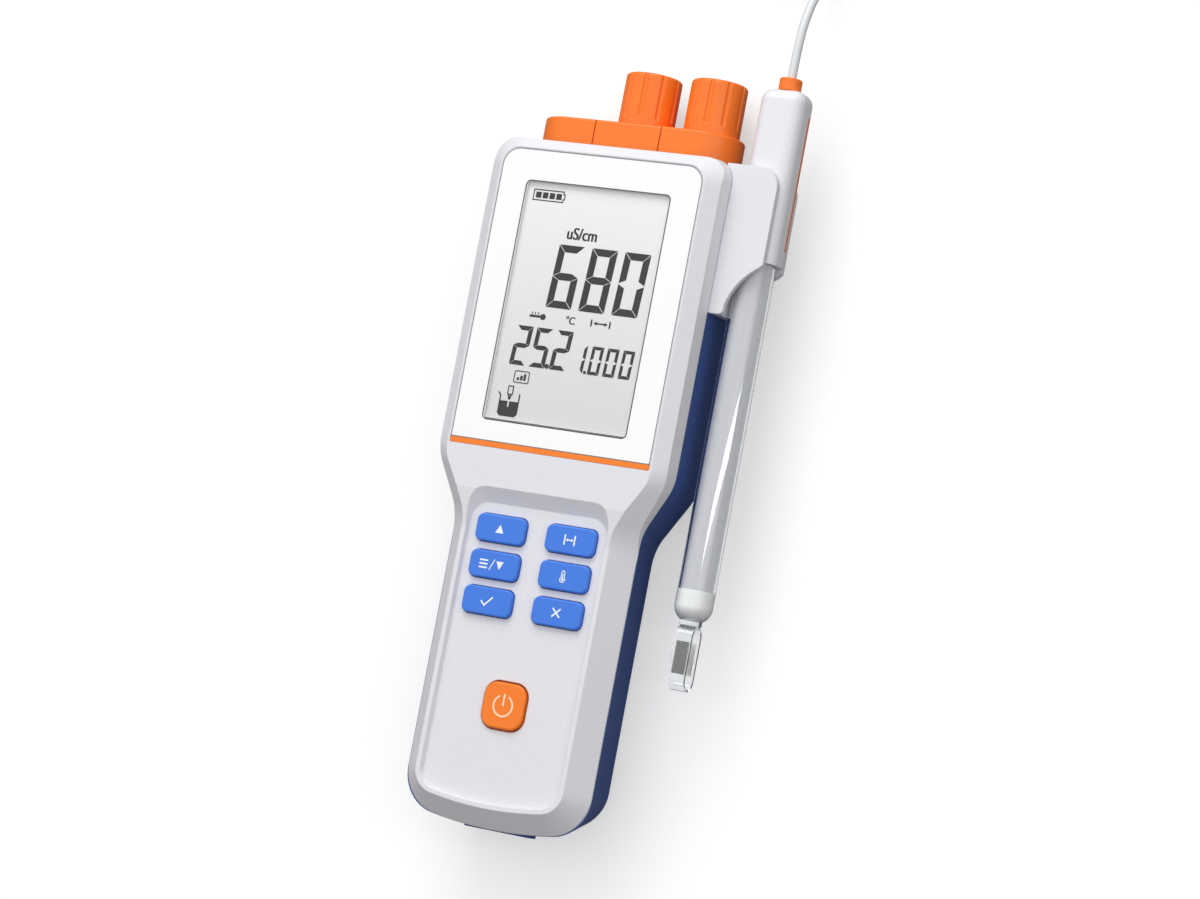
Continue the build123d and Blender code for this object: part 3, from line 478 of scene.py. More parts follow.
def flattened(source: bpy.types.Object, name: str) -> bpy.types.Object:
    """Turns an object's evaluated shape into a plain mesh piece and removes the source.

    Args:
        source: Object with its modifiers or its curve.
        name: Name of the new piece.

    Returns:
        The plain piece, with its place in its mesh.
    """
    shown = source.evaluated_get(bpy.context.evaluated_depsgraph_get())
    mesh = bpy.data.meshes.new_from_object(shown)
    mesh.transform(source.matrix_world)
    bpy.data.objects.remove(source)
    return add_object(name, mesh)


# Printed marks, and a painted shade line round the panel

def arc(centre: Point, radius: float, start: float, end: float, steps: int) -> list[Point]:
    """Points along an arc, with its angles in degrees."""
    turns = [math.radians(start + (end - start) * i / steps) for i in range(steps + 1)]
    return [(centre[0] + radius * math.cos(t), centre[1] + radius * math.sin(t)) for t in turns]


def rounded_outline(half: float, top: float, bottom: float, upper: float, lower: float) -> list[Point]:
    """Outline of an upright oblong with one radius for its upper corners and one for its lower.

    Args:
        half: Half of its width.
        top: Height of its upper edge.
        bottom: Height of its lower edge.
        upper: Radius of its upper corners.
        lower: Radius of its lower corners.

    Returns:
        The outline's points, anticlockwise.
    """
    points = arc((half - upper, top - upper), upper, 0, 90, 8)
    points += arc((upper - half, top - upper), upper, 90, 180, 8)
    points += arc((lower - half, bottom + lower), lower, 180, 270, 8)
    return points + arc((half - lower, bottom + lower), lower, 270, 360, 8)


def face_up(shape: bmesh.types.BMesh) -> None:
    """Turns every flat face of a shape upwards."""
    shape.normal_update()
    for face in shape.faces:
        if face.normal.z < 0:
            face.normal_flip()


class Ink:
    """Collects flat marks, in millimetres, and prints them as one piece; the marks are print, save the
    panel's line of painted seam shade.
    """

    STEP = 0.004

    def __init__(self, origin: Place) -> None:
        """Starts with no mark.

        Args:
            origin: Place of the marks' own zero, in millimetres.
        """
        self.origin = origin
        self.shape = bmesh.new()
        self.level = 0

    def polygon(self, points: list[Point]) -> None:
        """Adds a filled outline, a hair above the marks before it."""
        corners = [self.shape.verts.new((x, y, self.level * self.STEP)) for x, y in points]
        self.shape.faces.new(corners)
        self.level += 1

    def box(self, left: float, low: float, right: float, high: float) -> None:
        """Adds a filled upright oblong."""
        self.polygon([(left, low), (right, low), (right, high), (left, high)])

    def disc(self, centre: Point, radius: float) -> None:
        """Adds a filled circle."""
        self.polygon(arc(centre, radius, 0, 345, 23))

    def line(self, points: list[Point], width: float, closed: bool = False) -> None:
        """Adds a line of even width with mitred corners.

        Args:
            points: Middle of the line.
            width: Its width.
            closed: True if its end joins its start.
        """
        count = len(points)
        height = self.level * self.STEP
        pairs = []
        for i, here in enumerate(points):
            before = points[i - 1] if i or closed else None
            after = points[(i + 1) % count] if i + 1 < count or closed else None
            ways = [Vector(here) - Vector(before)] if before else []
            ways += [Vector(after) - Vector(here)] if after else []
            ways = [way.normalized() for way in ways]
            along = sum(ways, Vector((0, 0))).normalized()
            reach = width / 2 / max(0.3, along.dot(ways[0]))
            side = Vector((-along.y, along.x)) * reach
            pairs.append([self.shape.verts.new((here[0] + s * side.x, here[1] + s * side.y, height))
                          for s in (-1, 1)])
        last = count if closed else count - 1
        for i in range(last):
            first, second = pairs[i], pairs[(i + 1) % count]
            self.shape.faces.new([first[0], second[0], second[1], first[1]])
        self.level += 1

    def printed(self, name: str, finish: Finish, wardrobe: Wardrobe, body: str) -> bpy.types.Object:
        """Makes the piece and lets it ride.

        Args:
            name: Name of the piece.
            finish: Ink that it is printed with.
            wardrobe: Where the material comes from.
            body: Body that carries it.

        Returns:
            The printed piece.
        """
        mesh = bpy.data.meshes.new(name)
        face_up(self.shape)
        self.shape.to_mesh(mesh)
        self.shape.free()
        mesh.transform(Matrix.Scale(MM, 4) @ Matrix.Translation(self.origin))
        piece = add_object(name, mesh)
        wardrobe.dress(piece, finish)
        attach(piece, body)
        log.info("printed %s on %s", name, body)
        return piece


def stamp_tree() -> bpy.types.NodeTree:
    """Makes the node tree that stamps one shape at each point of a mesh.

    Returns:
        A tree with the shape and the material as inputs. Each point says its stretch.
    """
    graph, given, result = new_group(
        "stamp_shape", "GeometryNodeTree",
        {"Geometry": ("NodeSocketGeometry", None), "Shape": ("NodeSocketObject", None),
         "Material": ("NodeSocketMaterial", None)},
        {"Geometry": "NodeSocketGeometry"})
    shape = graph.node("GeometryNodeObjectInfo", {"Object": given.outputs["Shape"]})
    stretch = graph.node("GeometryNodeInputNamedAttribute", {"Name": "stretch"}, data_type="FLOAT_VECTOR")
    stamps = graph.node("GeometryNodeInstanceOnPoints", {
        "Points": given.outputs["Geometry"], "Instance": shape.outputs["Geometry"],
        "Scale": stretch.outputs[0]})
    solid = graph.node("GeometryNodeRealizeInstances", {"Geometry": stamps.outputs[0]})
    dressed = graph.node("GeometryNodeSetMaterial", {"Geometry": solid.outputs[0],
                                                     "Material": given.outputs["Material"]})
    graph.link(dressed.outputs[0], result.inputs["Geometry"])
    return graph.tree


def set_inputs(modifier: bpy.types.NodesModifier, values: dict[str, object]) -> None:
    """Sets a modifier's inputs by their names, through the sockets' identifiers."""
    for item in modifier.node_group.interface.items_tree:
        if item.item_type == "SOCKET" and item.in_out == "INPUT" and item.name in values:
            modifier[item.identifier] = values[item.name]


class Segment(Enum):
    """The three shapes that a digit's segments have, by the letters of the segments."""

    END = "ad"
    MIDDLE = "g"
    SIDE = "bcef"

    def outline(self) -> list[Point]:
        """Outline of one segment of a full-size digit, with its mitred ends.

        Returns:
            The outline's points, from the middle of an end or middle bar, or from the lower end of the
            outer edge of a side bar.
        """
        half, rise, weight, gap = DigitRow.BREADTH / 2, DigitRow.BAR / 2, DigitRow.WEIGHT, DigitRow.GAP
        if self is Segment.END:
            return [(gap - half, 0), (half - gap, 0), (half - weight - gap, weight),
                    (weight + gap - half, weight)]
        if self is Segment.SIDE:
            return [(0, gap), (weight, weight / 2 + gap), (weight, rise - weight - gap), (0, rise - gap)]
        tip, flank, thin = half - gap, half - gap - weight, weight / 2
        return [(-tip, 0), (-flank, -thin), (flank, -thin), (tip, 0), (flank, thin), (-flank, thin)]


@dataclass
class DigitRow:
    """One row of seven-segment digits, in millimetres."""

    name: str
    digits: list[tuple[str, float]]
    baseline: float
    height: float
    slant: float = 0.05

    LIT = {"0": "abcdef", "1": "bc", "2": "abdeg", "5": "acdfg", "6": "acdefg", "8": "abcdefg"}
    PLACES = {"a": (0.5, 1.0, 1, -1), "d": (0.5, 0.0, 1, 1), "g": (0.5, 0.5, 1, 1), "b": (1.0, 0.5, -1, 1),
              "c": (1.0, 0.5, -1, -1), "e": (0.0, 0.5, 1, -1), "f": (0.0, 0.5, 1, 1)}
    BAR = 20.0
    BREADTH = 8.9
    WEIGHT = 2.3
    GAP = 0.14

    def stamps(self, kind: Segment) -> list[tuple[Place, Place]]:
        """Place and stretch of each lit segment of one kind."""
        size = self.height / self.BAR
        found = []
        for digit, left in self.digits:
            for part in sorted(set(self.LIT[digit]) & set(kind.value)):
                across, up, flip_x, flip_y = self.PLACES[part]
                place = (left + across * self.BREADTH * size, self.baseline + up * self.height, 0.0)
                found.append((place, (flip_x * size, flip_y * size, 1.0)))
        return found

    def stamped(self, kind: Segment, tree: bpy.types.NodeTree,
                material: bpy.types.Material) -> bpy.types.Mesh:
        """Stamps the lit segments of one kind.

        Args:
            kind: Which segments.
            tree: The stamping tree.
            material: What the segments wear.

        Returns:
            The segments as one mesh, still in millimetres.
        """
        outline = kind.outline()
        shape_mesh = bpy.data.meshes.new("segment")
        shape_mesh.from_pydata([(x, y, 0) for x, y in outline], [], [list(range(len(outline)))])
        shape = add_object("segment", shape_mesh)
        found = self.stamps(kind)
        mesh = bpy.data.meshes.new("segment_places")
        mesh.from_pydata([place for place, _ in found], [], [])
        sizes = mesh.attributes.new("stretch", "FLOAT_VECTOR", "POINT")
        sizes.data.foreach_set("vector", [value for _, stretch in found for value in stretch])
        holder = add_object("segment_places", mesh)
        modifier = holder.modifiers.new("stamp", "NODES")
        modifier.node_group = tree
        set_inputs(modifier, {"Shape": shape, "Material": material})
        plain = flattened(holder, self.name)
        made = plain.data
        bpy.data.objects.remove(plain)
        bpy.data.objects.remove(shape)
        return made

    def build(self, origin: Place, tree: bpy.types.NodeTree, wardrobe: Wardrobe) -> bpy.types.Object:
        """Builds the row on the display.

        Args:
            origin: Where the row's zero lies, in millimetres.
            tree: The stamping tree.
            wardrobe: Where the ink comes from.

        Returns:
            The row as one piece.
        """
        shape = bmesh.new()
        for kind in Segment:
            if self.stamps(kind):
                shape.from_mesh(self.stamped(kind, tree, wardrobe.material(INK_DARK)))
        for vertex in shape.verts:
            vertex.co.x += self.slant * (vertex.co.y - self.baseline)
        face_up(shape)
        mesh = bpy.data.meshes.new(self.name)
        shape.to_mesh(mesh)
        shape.free()
        mesh.transform(Matrix.Scale(MM, 4) @ Matrix.Translation(origin))
        piece = add_object(self.name, mesh)
        wardrobe.dress(piece, INK_DARK)
        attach(piece, HOUSING)
        return piece


@dataclass
class Display:
    """What the display shows: digits, units and plain signs, in millimetres."""

    glass_z: float = 36.7
    sight: Point = (-0.58, 0.10)
    lift: float = 0.05
    rows: list[DigitRow] = field(default_factory=lambda: [
        DigitRow("reading_digits", [("6", -10.6), ("8", 0.9), ("0", 12.4)], 54.2, 20.0),
        DigitRow("temperature_digits", [("2", -19.5), ("5", -12.6), ("2", -5.4)], 35.0, 12.5, 0.06),
        DigitRow("constant_digits", [("1", 2.3), ("0", 7.9), ("0", 13.2), ("0", 18.6)], 35.0, 8.9, 0.05),
    ])
    units: tuple[tuple[str, str, float, float, float, float], ...] = (
        ("unit_sign", "uS/cm", -7.8, 2.7, 76.1, 79.9),
        ("degree_sign", "°C", -2.7, 0.6, 49.7, 52.2),
    )
    boldness: float = 0.035
    tip_lift: float = 0.05

    def origin(self) -> Place:
        """Zero of the display's marks, set back so that they are seen in place through the window."""
        return (self.sight[0], self.sight[1], self.glass_z + self.lift)

    def word(self, name: str, text: str, box: tuple[float, float, float, float],
             wardrobe: Wardrobe) -> None:
        """Sets one unit into its place on the display, printed three times side by side to make it bold.

        Args:
            name: Name of the piece.
            text: What it says.
            box: Left, right, low and high edge, in millimetres.
            wardrobe: Where the ink comes from.
        """
        curve = bpy.data.curves.new(name, "FONT")
        curve.body = text
        letters = flattened(add_object(name + "_type", curve), name)
        bold = bmesh.new()
        for side in (-1, 0, 1):
            copy = letters.data.copy()
            copy.transform(Matrix.Translation((side * self.boldness, 0, side * 0.001)))
            bold.from_mesh(copy)
            bpy.data.meshes.remove(copy)
        bold.to_mesh(letters.data)
        bold.free()
        corners = [vertex.co for vertex in letters.data.vertices]
        low = Vector((min(c.x for c in corners), min(c.y for c in corners), min(c.z for c in corners)))
        high = Vector((max(c.x for c in corners), max(c.y for c in corners), 0))
        left, right, bottom, top = box
        size = Matrix.Diagonal(((right - left) / (high.x - low.x), (top - bottom) / (high.y - low.y), 1, 1))
        place = Matrix.Translation(Vector((left, bottom, 0)) + Vector(self.origin()))
        letters.data.transform(Matrix.Scale(MM, 4) @ place @ size @ Matrix.Translation(-low))
        wardrobe.dress(letters, INK_DARK)
        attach(letters, HOUSING)

    def battery_sign(self, ink: Ink) -> None:
        """Draws the battery sign with its four blocks."""
        ink.line([(-22.0, 87.3), (-11.5, 87.3), (-11.5, 88.2), (-11.0, 88.2), (-11.0, 89.7), (-11.5, 89.7),
                  (-11.5, 90.6), (-22.0, 90.6)], 0.35, closed=True)
        for i in range(4):
            left = -21.2 + 2.4 * i
            ink.box(left, 88.0, left + 1.9, 89.9)

    def beaker_sign(self, ink: Ink) -> None:
        """Draws the beaker sign with the electrode that dips into it."""
        ink.line([(-21.0, 26.0), (-20.2, 25.0), (-20.2, 19.6), (-19.4, 18.8), (-14.4, 18.8), (-13.6, 19.6),
                  (-13.6, 26.0)], 0.45)
        ink.polygon([(-20.2, 23.4), (-20.2, 19.6), (-19.4, 18.7), (-14.4, 18.7), (-13.6, 19.6),
                     (-13.6, 23.4)])
        ink.line([(-17.9, 28.2), (-17.9, 25.6), (-16.2, 25.6), (-16.2, 28.2)], 0.35, closed=True)
        ink.line([(-17.5, 25.5), (-17.2, 24.2), (-16.9, 24.2), (-16.6, 25.5)], 0.5)

    def mode_signs(self, ink: Ink) -> None:
        """Draws the small signs for the temperature, the cell constant and a steady reading."""
        ink.line([(-15.4, 50.9), (-11.2, 50.9)], 0.75)
        ink.disc((-10.7, 50.9), 0.95)
        for i in range(3):
            ink.box(-14.8 + 1.1 * i, 51.5, -14.5 + 1.1 * i, 52.2)
        for x in (6.0, 12.4):
            ink.box(x, 49.9, x + 0.5, 52.1)
        ink.line([(7.6, 51.0), (11.3, 51.0)], 0.4)
        ink.polygon([(7.0, 51.0), (8.1, 50.4), (8.1, 51.6)])
        ink.polygon([(11.9, 51.0), (10.8, 51.6), (10.8, 50.4)])
        frame_line = [(x - 14.15, y + 31.4) for x, y in rounded_outline(2.55, 1.8, -1.8, 0.5, 0.5)]
        ink.line(frame_line, 0.28, closed=True)
        for i in range(3):
            ink.box(-15.7 + 1.15 * i, 30.4, -14.9 + 1.15 * i, 31.2 + 0.6 * i)

    def build(self, wardrobe: Wardrobe) -> None:
        """Prints all that the display shows."""
        tree = stamp_tree()
        for row in self.rows:
            row.build(self.origin(), tree, wardrobe)
            log.info("display row %s", row.name)
        for name, text, left, right, low, high in self.units:
            self.word(name, text, (left, right, low, high), wardrobe)
        signs = Ink(self.origin())
        self.battery_sign(signs)
        self.beaker_sign(signs)
        self.mode_signs(signs)
        signs.disc((-6.2, 35.8), 0.75)
        signs.disc((7.1, 35.5), 0.5)
        signs.printed("display_signs", INK_DARK, wardrobe, HOUSING)
        x, y, z = self.origin()
        tip = Ink((x, y, z + self.tip_lift))
        tip.box(-17.3, 21.6, -16.8, 23.6)
        tip.printed("electrode_sign_tip", LCD_FACE, wardrobe, HOUSING)


@dataclass
class PanelLines:
    """A printed line round the window, and a grey line of painted shade round the panel where it meets the
    shell, in millimetres.
    """

    face_z: float = 38.0
    lift: float = 0.015
    window: tuple[float, float, float, float] = (25.15, 93.15, 16.95, 1.6)
    window_width: float = 0.38
    panel: tuple[float, float, float, float, float] = (34.62, 102.92, 10.35, 5.4, 0.4)
    seam_shade_width: float = 0.28

    def build(self, wardrobe: Wardrobe) -> None:
        """Prints the window line, and lays the painted shade line round the panel."""
        half, top, bottom, corner = self.window
        line = Ink((0, 0, self.face_z + self.lift))
        line.line(rounded_outline(half, top, bottom, corner, corner), self.window_width, closed=True)
        line.printed("window_line", INK_LINE, wardrobe, HOUSING)
        # painted shade: a grey line round the panel's edge stands for the shadow in its seam with the shell
        half, top, bottom, upper, lower = self.panel
        edge = Ink((0, 0, self.face_z + self.lift))
        edge.line(rounded_outline(half, top, bottom, upper, lower), self.seam_shade_width, closed=True)
        edge.printed("panel_line", PANEL_SEAM_SHADE, wardrobe, HOUSING)


class Sign(Enum):
    """Plain signs on the keys, by the key that carries each."""

    UP = "key_up"
    SET_DOWN = "key_down"
    CONFIRM = "key_enter"
    CONSTANT = "key_constant"
    TEMPERATURE = "key_temperature"
    CANCEL = "key_cancel"

    def draw(self, ink: Ink) -> None:
        """Draws the sign, in millimetres from the middle of its key."""
        if self is Sign.UP:
            ink.polygon([(-1.45, -1.3), (1.45, -1.3), (0, 1.35)])
        elif self is Sign.SET_DOWN:
            for height in (-1.15, 0.0, 1.15):
                ink.box(-4.9, height - 0.25, -2.0, height + 0.25)
            ink.line([(-1.2, -1.7), (0.3, 1.7)], 0.32)
            ink.polygon([(3.5, 1.3), (0.9, 1.3), (2.2, -1.3)])
        elif self is Sign.CONFIRM:
            ink.line([(-1.9, -0.05), (-0.55, -1.35), (2.0, 1.4)], 0.5)
        elif self is Sign.CANCEL:
            ink.line([(-1.35, -1.35), (1.35, 1.35)], 0.5)
            ink.line([(-1.35, 1.35), (1.35, -1.35)], 0.5)
        elif self is Sign.CONSTANT:
            for side in (-1.7, 1.7):
                ink.box(side - 0.25, -1.6, side + 0.25, 1.6)
            ink.line([(-0.95, 0), (0.95, 0)], 0.35)
            ink.polygon([(-1.25, 0), (-0.6, -0.55), (-0.6, 0.55)])
            ink.polygon([(1.25, 0), (0.6, 0.55), (0.6, -0.55)])
        else:
            neck = arc((0, 1.25), 0.5, 0, 180, 6)
            bulb = arc((0, -0.95), 0.85, 126, 414, 16)
            ink.line(neck + bulb, 0.3, closed=True)
            ink.disc((0, -0.95), 0.42)
            ink.box(-0.14, -0.8, 0.14, 0.9)


@dataclass
class Keys:
    """Signs printed on the keys, in millimetres."""

    lift: float = 0.02
    ring_radius: float = 3.25
    ring_width: float = 0.55
    ring_gap: float = 28.0
    bar_low: float = -0.1
    bar_high: float = 3.7

    def top_of(self, key: str) -> Place:
        """Middle of a key's upper face, in millimetres."""
        low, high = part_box(key)
        middle = (low + high) / 2 / MM
        return (middle.x, middle.y, high.z / MM + self.lift)

    def build(self, wardrobe: Wardrobe) -> None:
        """Prints a sign on each key."""
        for sign in Sign:
            ink = Ink(self.top_of(sign.value))
            sign.draw(ink)
            ink.printed(sign.value + "_sign", INK_WHITE, wardrobe, sign.value)
        power = Ink(self.top_of("power_key"))
        ring = arc((0, 0), self.ring_radius, 90 + self.ring_gap, 450 - self.ring_gap, 40)
        power.line(ring, self.ring_width)
        power.box(-self.ring_width / 2, self.bar_low, self.ring_width / 2, self.bar_high)
        power.printed("power_sign", INK_CREAM, wardrobe, "power_key")


# Battery contacts

def spring_tree() -> bpy.types.NodeTree:
    """Makes the node tree for the wound contact springs, one at each point of a mesh.

    Returns:
        A tree with the spring's and its plate's sizes as inputs.
    """
    graph, given, result = new_group(
        "contact_spring", "GeometryNodeTree",
        {"Geometry": ("NodeSocketGeometry", None), "Wide Radius": ("NodeSocketFloat", 0.0032),
         "Narrow Radius": ("NodeSocketFloat", 0.0021), "Wire Radius": ("NodeSocketFloat", 0.0003),
         "Length": ("NodeSocketFloat", 0.0015), "Turns": ("NodeSocketFloat", 3.5),
         "Plate": ("NodeSocketVector", (0.0084, 0.0084, 0.0005)), "Material": ("NodeSocketMaterial", None)},
        {"Geometry": "NodeSocketGeometry"})
    out = given.outputs
    coil = graph.node("GeometryNodeCurveSpiral", {
        "Resolution": 24, "Rotations": out["Turns"], "Start Radius": out["Wide Radius"],
        "End Radius": out["Narrow Radius"], "Height": out["Length"]})
    section = graph.node("GeometryNodeCurvePrimitiveCircle", {"Resolution": 10, "Radius": out["Wire Radius"]})
    wire = graph.node("GeometryNodeCurveToMesh", {
        "Curve": coil.outputs[0], "Profile Curve": section.outputs[0], "Fill Caps": True})
    plate = graph.node("GeometryNodeMeshCube", {"Size": out["Plate"]})
    joined = graph.node("GeometryNodeJoinGeometry")
    graph.link(wire.outputs[0], joined.inputs[0])
    graph.link(plate.outputs[0], joined.inputs[0])
    turn = graph.node("GeometryNodeInputNamedAttribute", {"Name": "turn"}, data_type="FLOAT")
    tilted = graph.node("ShaderNodeCombineXYZ", {"X": turn.outputs[0]})
    springs = graph.node("GeometryNodeInstanceOnPoints", {
        "Points": out["Geometry"], "Instance": joined.outputs[0], "Rotation": tilted.outputs[0]})
    solid = graph.node("GeometryNodeRealizeInstances", {"Geometry": springs.outputs[0]})
    dressed = graph.node("GeometryNodeSetMaterial", {
        "Geometry": solid.outputs[0], "Material": out["Material"]})
    graph.link(dressed.outputs[0], result.inputs["Geometry"])
    return graph.tree


@dataclass
class BatteryContacts:
    """Wound springs with their plates at the flat ends of the cells, in millimetres."""

    plate_width: float = 8.4
    plate_sheet: float = 0.5
    length: float = 1.45
    wire_radius: float = 0.3

    def build(self, wardrobe: Wardrobe) -> None:
        """Winds one spring for each cell, two from the lower wall and one from the upper."""
        low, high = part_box("battery_springs")
        pitch = (high.x - low.x - self.plate_width * MM) / 2
        middle_z = (low.z + high.z) / 2
        half_sheet = self.plate_sheet / 2 * MM
        places = [(-pitch, low.y + half_sheet, middle_z), (0.0, high.y - half_sheet, middle_z),
                  (pitch, low.y + half_sheet, middle_z)]
        mesh = bpy.data.meshes.new("spring_places")
        mesh.from_pydata(places, [], [])
        turns = mesh.attributes.new("turn", "FLOAT", "POINT")
        turns.data.foreach_set("value", [-math.pi / 2, math.pi / 2, -math.pi / 2])
        holder = add_object("spring_places", mesh)
        modifier = holder.modifiers.new("wind", "NODES")
        modifier.node_group = spring_tree()
        set_inputs(modifier, {"Length": (self.length + self.plate_sheet / 2 - self.wire_radius) * MM,
                              "Wire Radius": self.wire_radius * MM, "Material": wardrobe.material(NICKEL)})
        springs = flattened(holder, "wound_springs")
        wardrobe.dress(springs, NICKEL)
        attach(springs, HOUSING)
        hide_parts("battery_springs")
        log.info("wound %d springs", len(places))


@dataclass
class Cord:
    """Lead of the measuring cell: a run down to a neat coil, and a tail to the plug, in millimetres."""

    radius: float = 1.4
    centre: Point = (31.8, 200.0)
    outer: float = 18.2
    inner: float = 15.4
    floor_z: float = 1.5
    per_turn: int = 24
    step_arc: float = 55.0
    step_lag: float = 32.5
    first_step: float = 290.0
    run_in: tuple[Place, ...] = (
        (50.0, 136.3, 20.7), (50.0, 149.0, 20.7), (50.2, 160.5, 17.5), (50.2, 171.0, 10.5),
        (50.0, 181.5, 4.2), (50.0, 191.0, 1.5))
    run_out: tuple[Place, ...] = (
        (31.8, 218.2, 9.9), (23.5, 218.1, 9.2), (15.0, 217.2, 7.4), (7.0, 216.6, 6.3))
    seats: tuple[tuple[int, int], ...] = ((1, 0), (0, 0), (0, 1), (1, 1), (1, 2), (0, 2), (0, 3), (1, 3))
    length: float = 852.0

    def seat(self, angle: float) -> tuple[float, float]:
        """Radius and height of the turns at an angle counted from the coil's start, in degrees.

        Args:
            angle: Angle along the coil; each turn is 360.

        Returns:
            Radius and height. Each step to the next seat comes a little earlier than the step under it.
        """
        column, layer = (float(value) for value in self.seats[0])
        for turn, (before, after) in enumerate(zip(self.seats, self.seats[1:])):
            start = 360 * turn + self.first_step - self.step_lag * turn
            share = min(1.0, max(0.0, (angle - start) / self.step_arc))
            eased = share * share * (3 - 2 * share)
            column += (after[0] - before[0]) * eased
            layer += (after[1] - before[1]) * eased
        return self.inner + (self.outer - self.inner) * column, self.floor_z + 2 * self.radius * layer

    def coil(self) -> list[Place]:
        """Points of the turns, by a loop."""
        total = 360 * (len(self.seats) - 1) + 90
        step = 360 / self.per_turn
        wider = 1 / math.cos(math.pi / self.per_turn)
        points = []
        for i in range(round(total / step)):
            radius, height = self.seat(i * step)
            turn = math.radians(i * step)
            points.append((self.centre[0] + wider * radius * math.cos(turn),
                           self.centre[1] + wider * radius * math.sin(turn), height))
        return points

    def build(self, wardrobe: Wardrobe) -> None:
        """Lays the cord as one smooth curve."""
        points = [*self.run_in, *self.coil(), *self.run_out]
        curve = bpy.data.curves.new("lead", "CURVE")
        curve.dimensions = "3D"
        spline = curve.splines.new("NURBS")
        spline.points.add(len(points) - 1)
        for target, (x, y, z) in zip(spline.points, points):
            target.co = (x * MM, y * MM, z * MM, 1.0)
        spline.order_u = 3
        spline.use_endpoint_u = True
        spline.resolution_u = 5
        curve.bevel_depth = self.radius * MM
        curve.bevel_resolution = 4
        curve.use_fill_caps = True
        lead = add_object("lead", curve)
        wardrobe.dress(lead, CORD_GREY)
        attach(lead, PROBE)
        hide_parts("probe_cord", "cord_coil", "plug_cord")
        log.info("lead with %d points", len(points))


# Studio

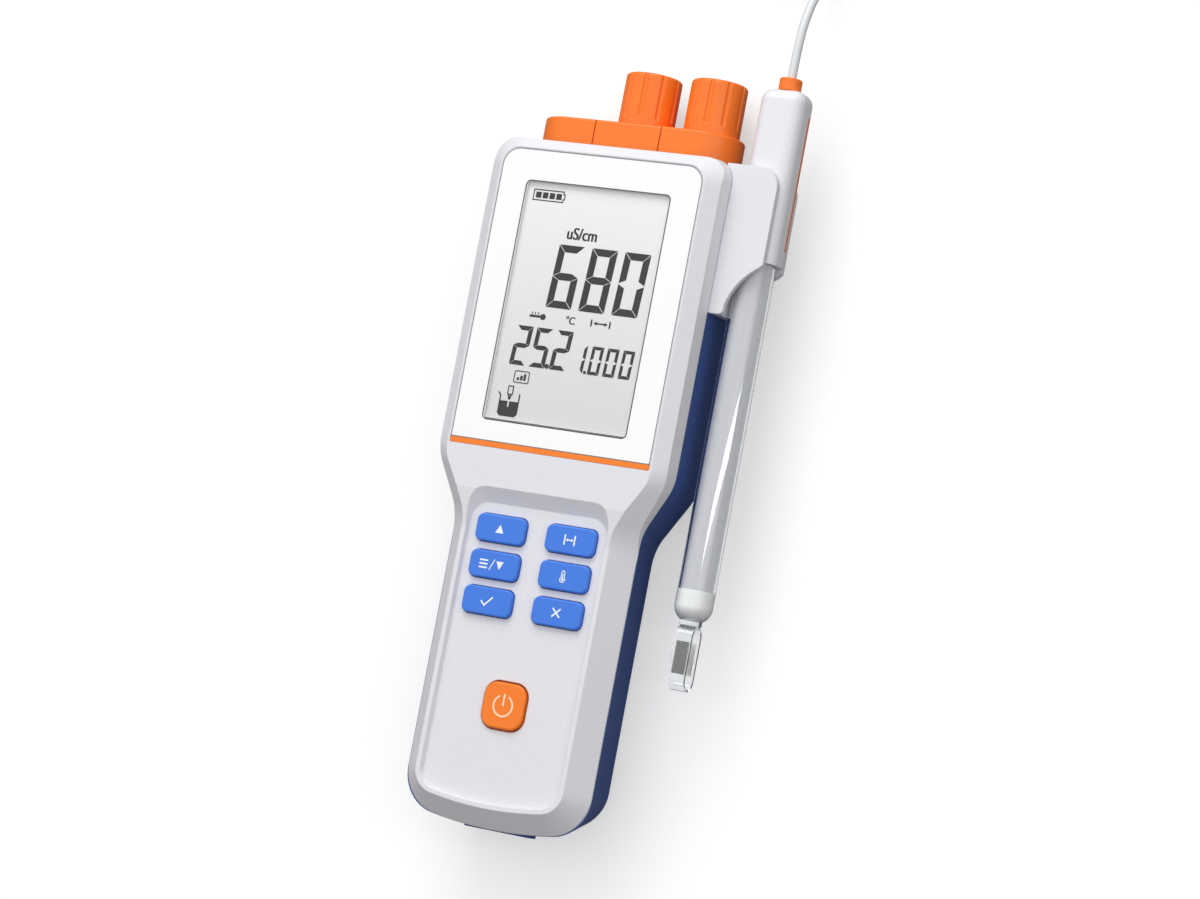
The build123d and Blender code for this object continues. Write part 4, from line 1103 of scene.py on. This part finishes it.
@dataclass
class Studio:
    """Pale floor, soft light and the camera at the photograph's angle."""

    floor_half: float = 3.0
    camera_place: Place = (497.826, -72.341, 999.449)
    camera_rows: tuple[Place, Place, Place] = (
        (0.88553947, 0.18473647, -0.42625379), (-0.13113431, 0.97962203, 0.1521331),
        (0.44567213, -0.07882336, 0.89171925))
    lens: float = 105.81
    sky: float = 1.0
    low_share: float = 0.25
    near_share: float = 0.35
    key_place: Place = (-0.25, 1.5, 0.95)
    key_size: float = 1.1
    key_power: float = 16.0
    line_place: Place = (0.93, 0.11, 0.84)
    line_size: tuple[float, float] = (0.05, 1.0)
    line_power: float = 1.4

    def floor(self) -> None:
        """Lays the floor, whose paleness for the camera doesn't brighten the object."""
        half = self.floor_half
        mesh = bpy.data.meshes.new("floor")
        corners = [(-half, -half, 0), (half, -half, 0), (half, half, 0), (-half, half, 0)]
        mesh.from_pydata(corners, [], [(0, 1, 2, 3)])
        floor = add_object("floor", mesh)
        material = bpy.data.materials.new("floor_pale")
        material.use_nodes = True
        graph = Graph(material.node_tree)
        seen = graph.node("ShaderNodeLightPath").outputs
        looked_at = graph.sum("MAXIMUM", seen["Is Camera Ray"], seen["Is Transmission Ray"])
        plain = material.node_tree.nodes["Principled BSDF"]
        plain.inputs["Base Color"].default_value = (0.22, 0.22, 0.22, 1)
        plain.inputs["Roughness"].default_value = 0.9
        pale = graph.node("ShaderNodeBsdfPrincipled", {
            "Base Color": (0.6, 0.6, 0.6, 1), "Roughness": 0.9, "Emission Color": (1, 1, 1, 1),
            "Emission Strength": 0.47})
        mix = graph.node("ShaderNodeMixShader", {0: looked_at, 1: plain.outputs[0], 2: pale.outputs[0]})
        graph.link(mix.outputs[0], material.node_tree.nodes["Material Output"].inputs["Surface"])
        mesh.materials.append(material)

    def surroundings(self) -> None:
        """Surrounds the part with soft light that fades towards the floor and towards the lower end."""
        world = bpy.data.worlds.new("studio")
        world.use_nodes = True
        bpy.context.scene.world = world
        graph = Graph(world.node_tree)
        way = graph.node("ShaderNodeSeparateXYZ", {0: graph.node("ShaderNodeTexCoord").outputs["Generated"]})
        height = graph.node("ShaderNodeMapRange", {
            "Value": way.outputs["Z"], "From Min": 0.05, "From Max": 0.6, "To Min": self.low_share},
            interpolation_type="SMOOTHSTEP")
        end = graph.node("ShaderNodeMapRange", {"Value": way.outputs["Y"], "From Min": -0.7, "From Max": 0.3,
                                                "To Min": self.near_share}, interpolation_type="SMOOTHSTEP")
        both = graph.sum("MULTIPLY", height.outputs[0], end.outputs[0])
        back = world.node_tree.nodes["Background"]
        back.inputs["Color"].default_value = (1, 1, 1, 1)
        graph.link(graph.sum("MULTIPLY", both, self.sky), back.inputs["Strength"])

    def lamp(self, name: str, place: Place, size: tuple[float, float], power: float) -> None:
        """Sets one area lamp that faces the part.

        Args:
            name: Its name.
            place: Where it hangs, in metres.
            size: Its width and its length along Y, in metres.
            power: Its power in watts.
        """
        data = bpy.data.lights.new(name, "AREA")
        data.shape = "RECTANGLE"
        data.size, data.size_y = size
        data.energy = power
        lamp = bpy.data.objects.new(name, data)
        bpy.context.scene.collection.objects.link(lamp)
        lamp.location = place
        lamp.rotation_euler = Vector(place).to_track_quat("Z", "Y").to_euler()

    def camera(self) -> None:
        """Sets the camera where the photograph was taken from."""
        data = bpy.data.cameras.new("camera")
        data.sensor_width = 36.0
        data.lens = self.lens
        camera = bpy.data.objects.new("camera", data)
        bpy.context.scene.collection.objects.link(camera)
        turn = Matrix(self.camera_rows).transposed().to_4x4()
        camera.matrix_world = Matrix.Translation(Vector(self.camera_place) * MM) @ turn
        bpy.context.scene.camera = camera
        bpy.context.scene.view_settings.view_transform = "Standard"

    def build(self) -> None:
        """Sets up the whole studio."""
        self.camera()
        self.floor()
        self.surroundings()
        self.lamp("key", self.key_place, (self.key_size, self.key_size), self.key_power)
        self.lamp("line", self.line_place, self.line_size, self.line_power)
        log.info("studio is set")


def main() -> None:
    """Builds the looks in order."""
    logging.basicConfig(level=logging.INFO, format="%(message)s")
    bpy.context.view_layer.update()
    wardrobe = Wardrobe()
    Studio().build()
    Cord().build(wardrobe)
    wardrobe.dress_nodes(NODE_FINISHES)
    wardrobe.dress_nodes({sign.value: KEY_BLUE for sign in Sign})
    Display().build(wardrobe)
    PanelLines().build(wardrobe)
    Keys().build(wardrobe)
    BatteryContacts().build(wardrobe)


if __name__ == "__main__":
    main()
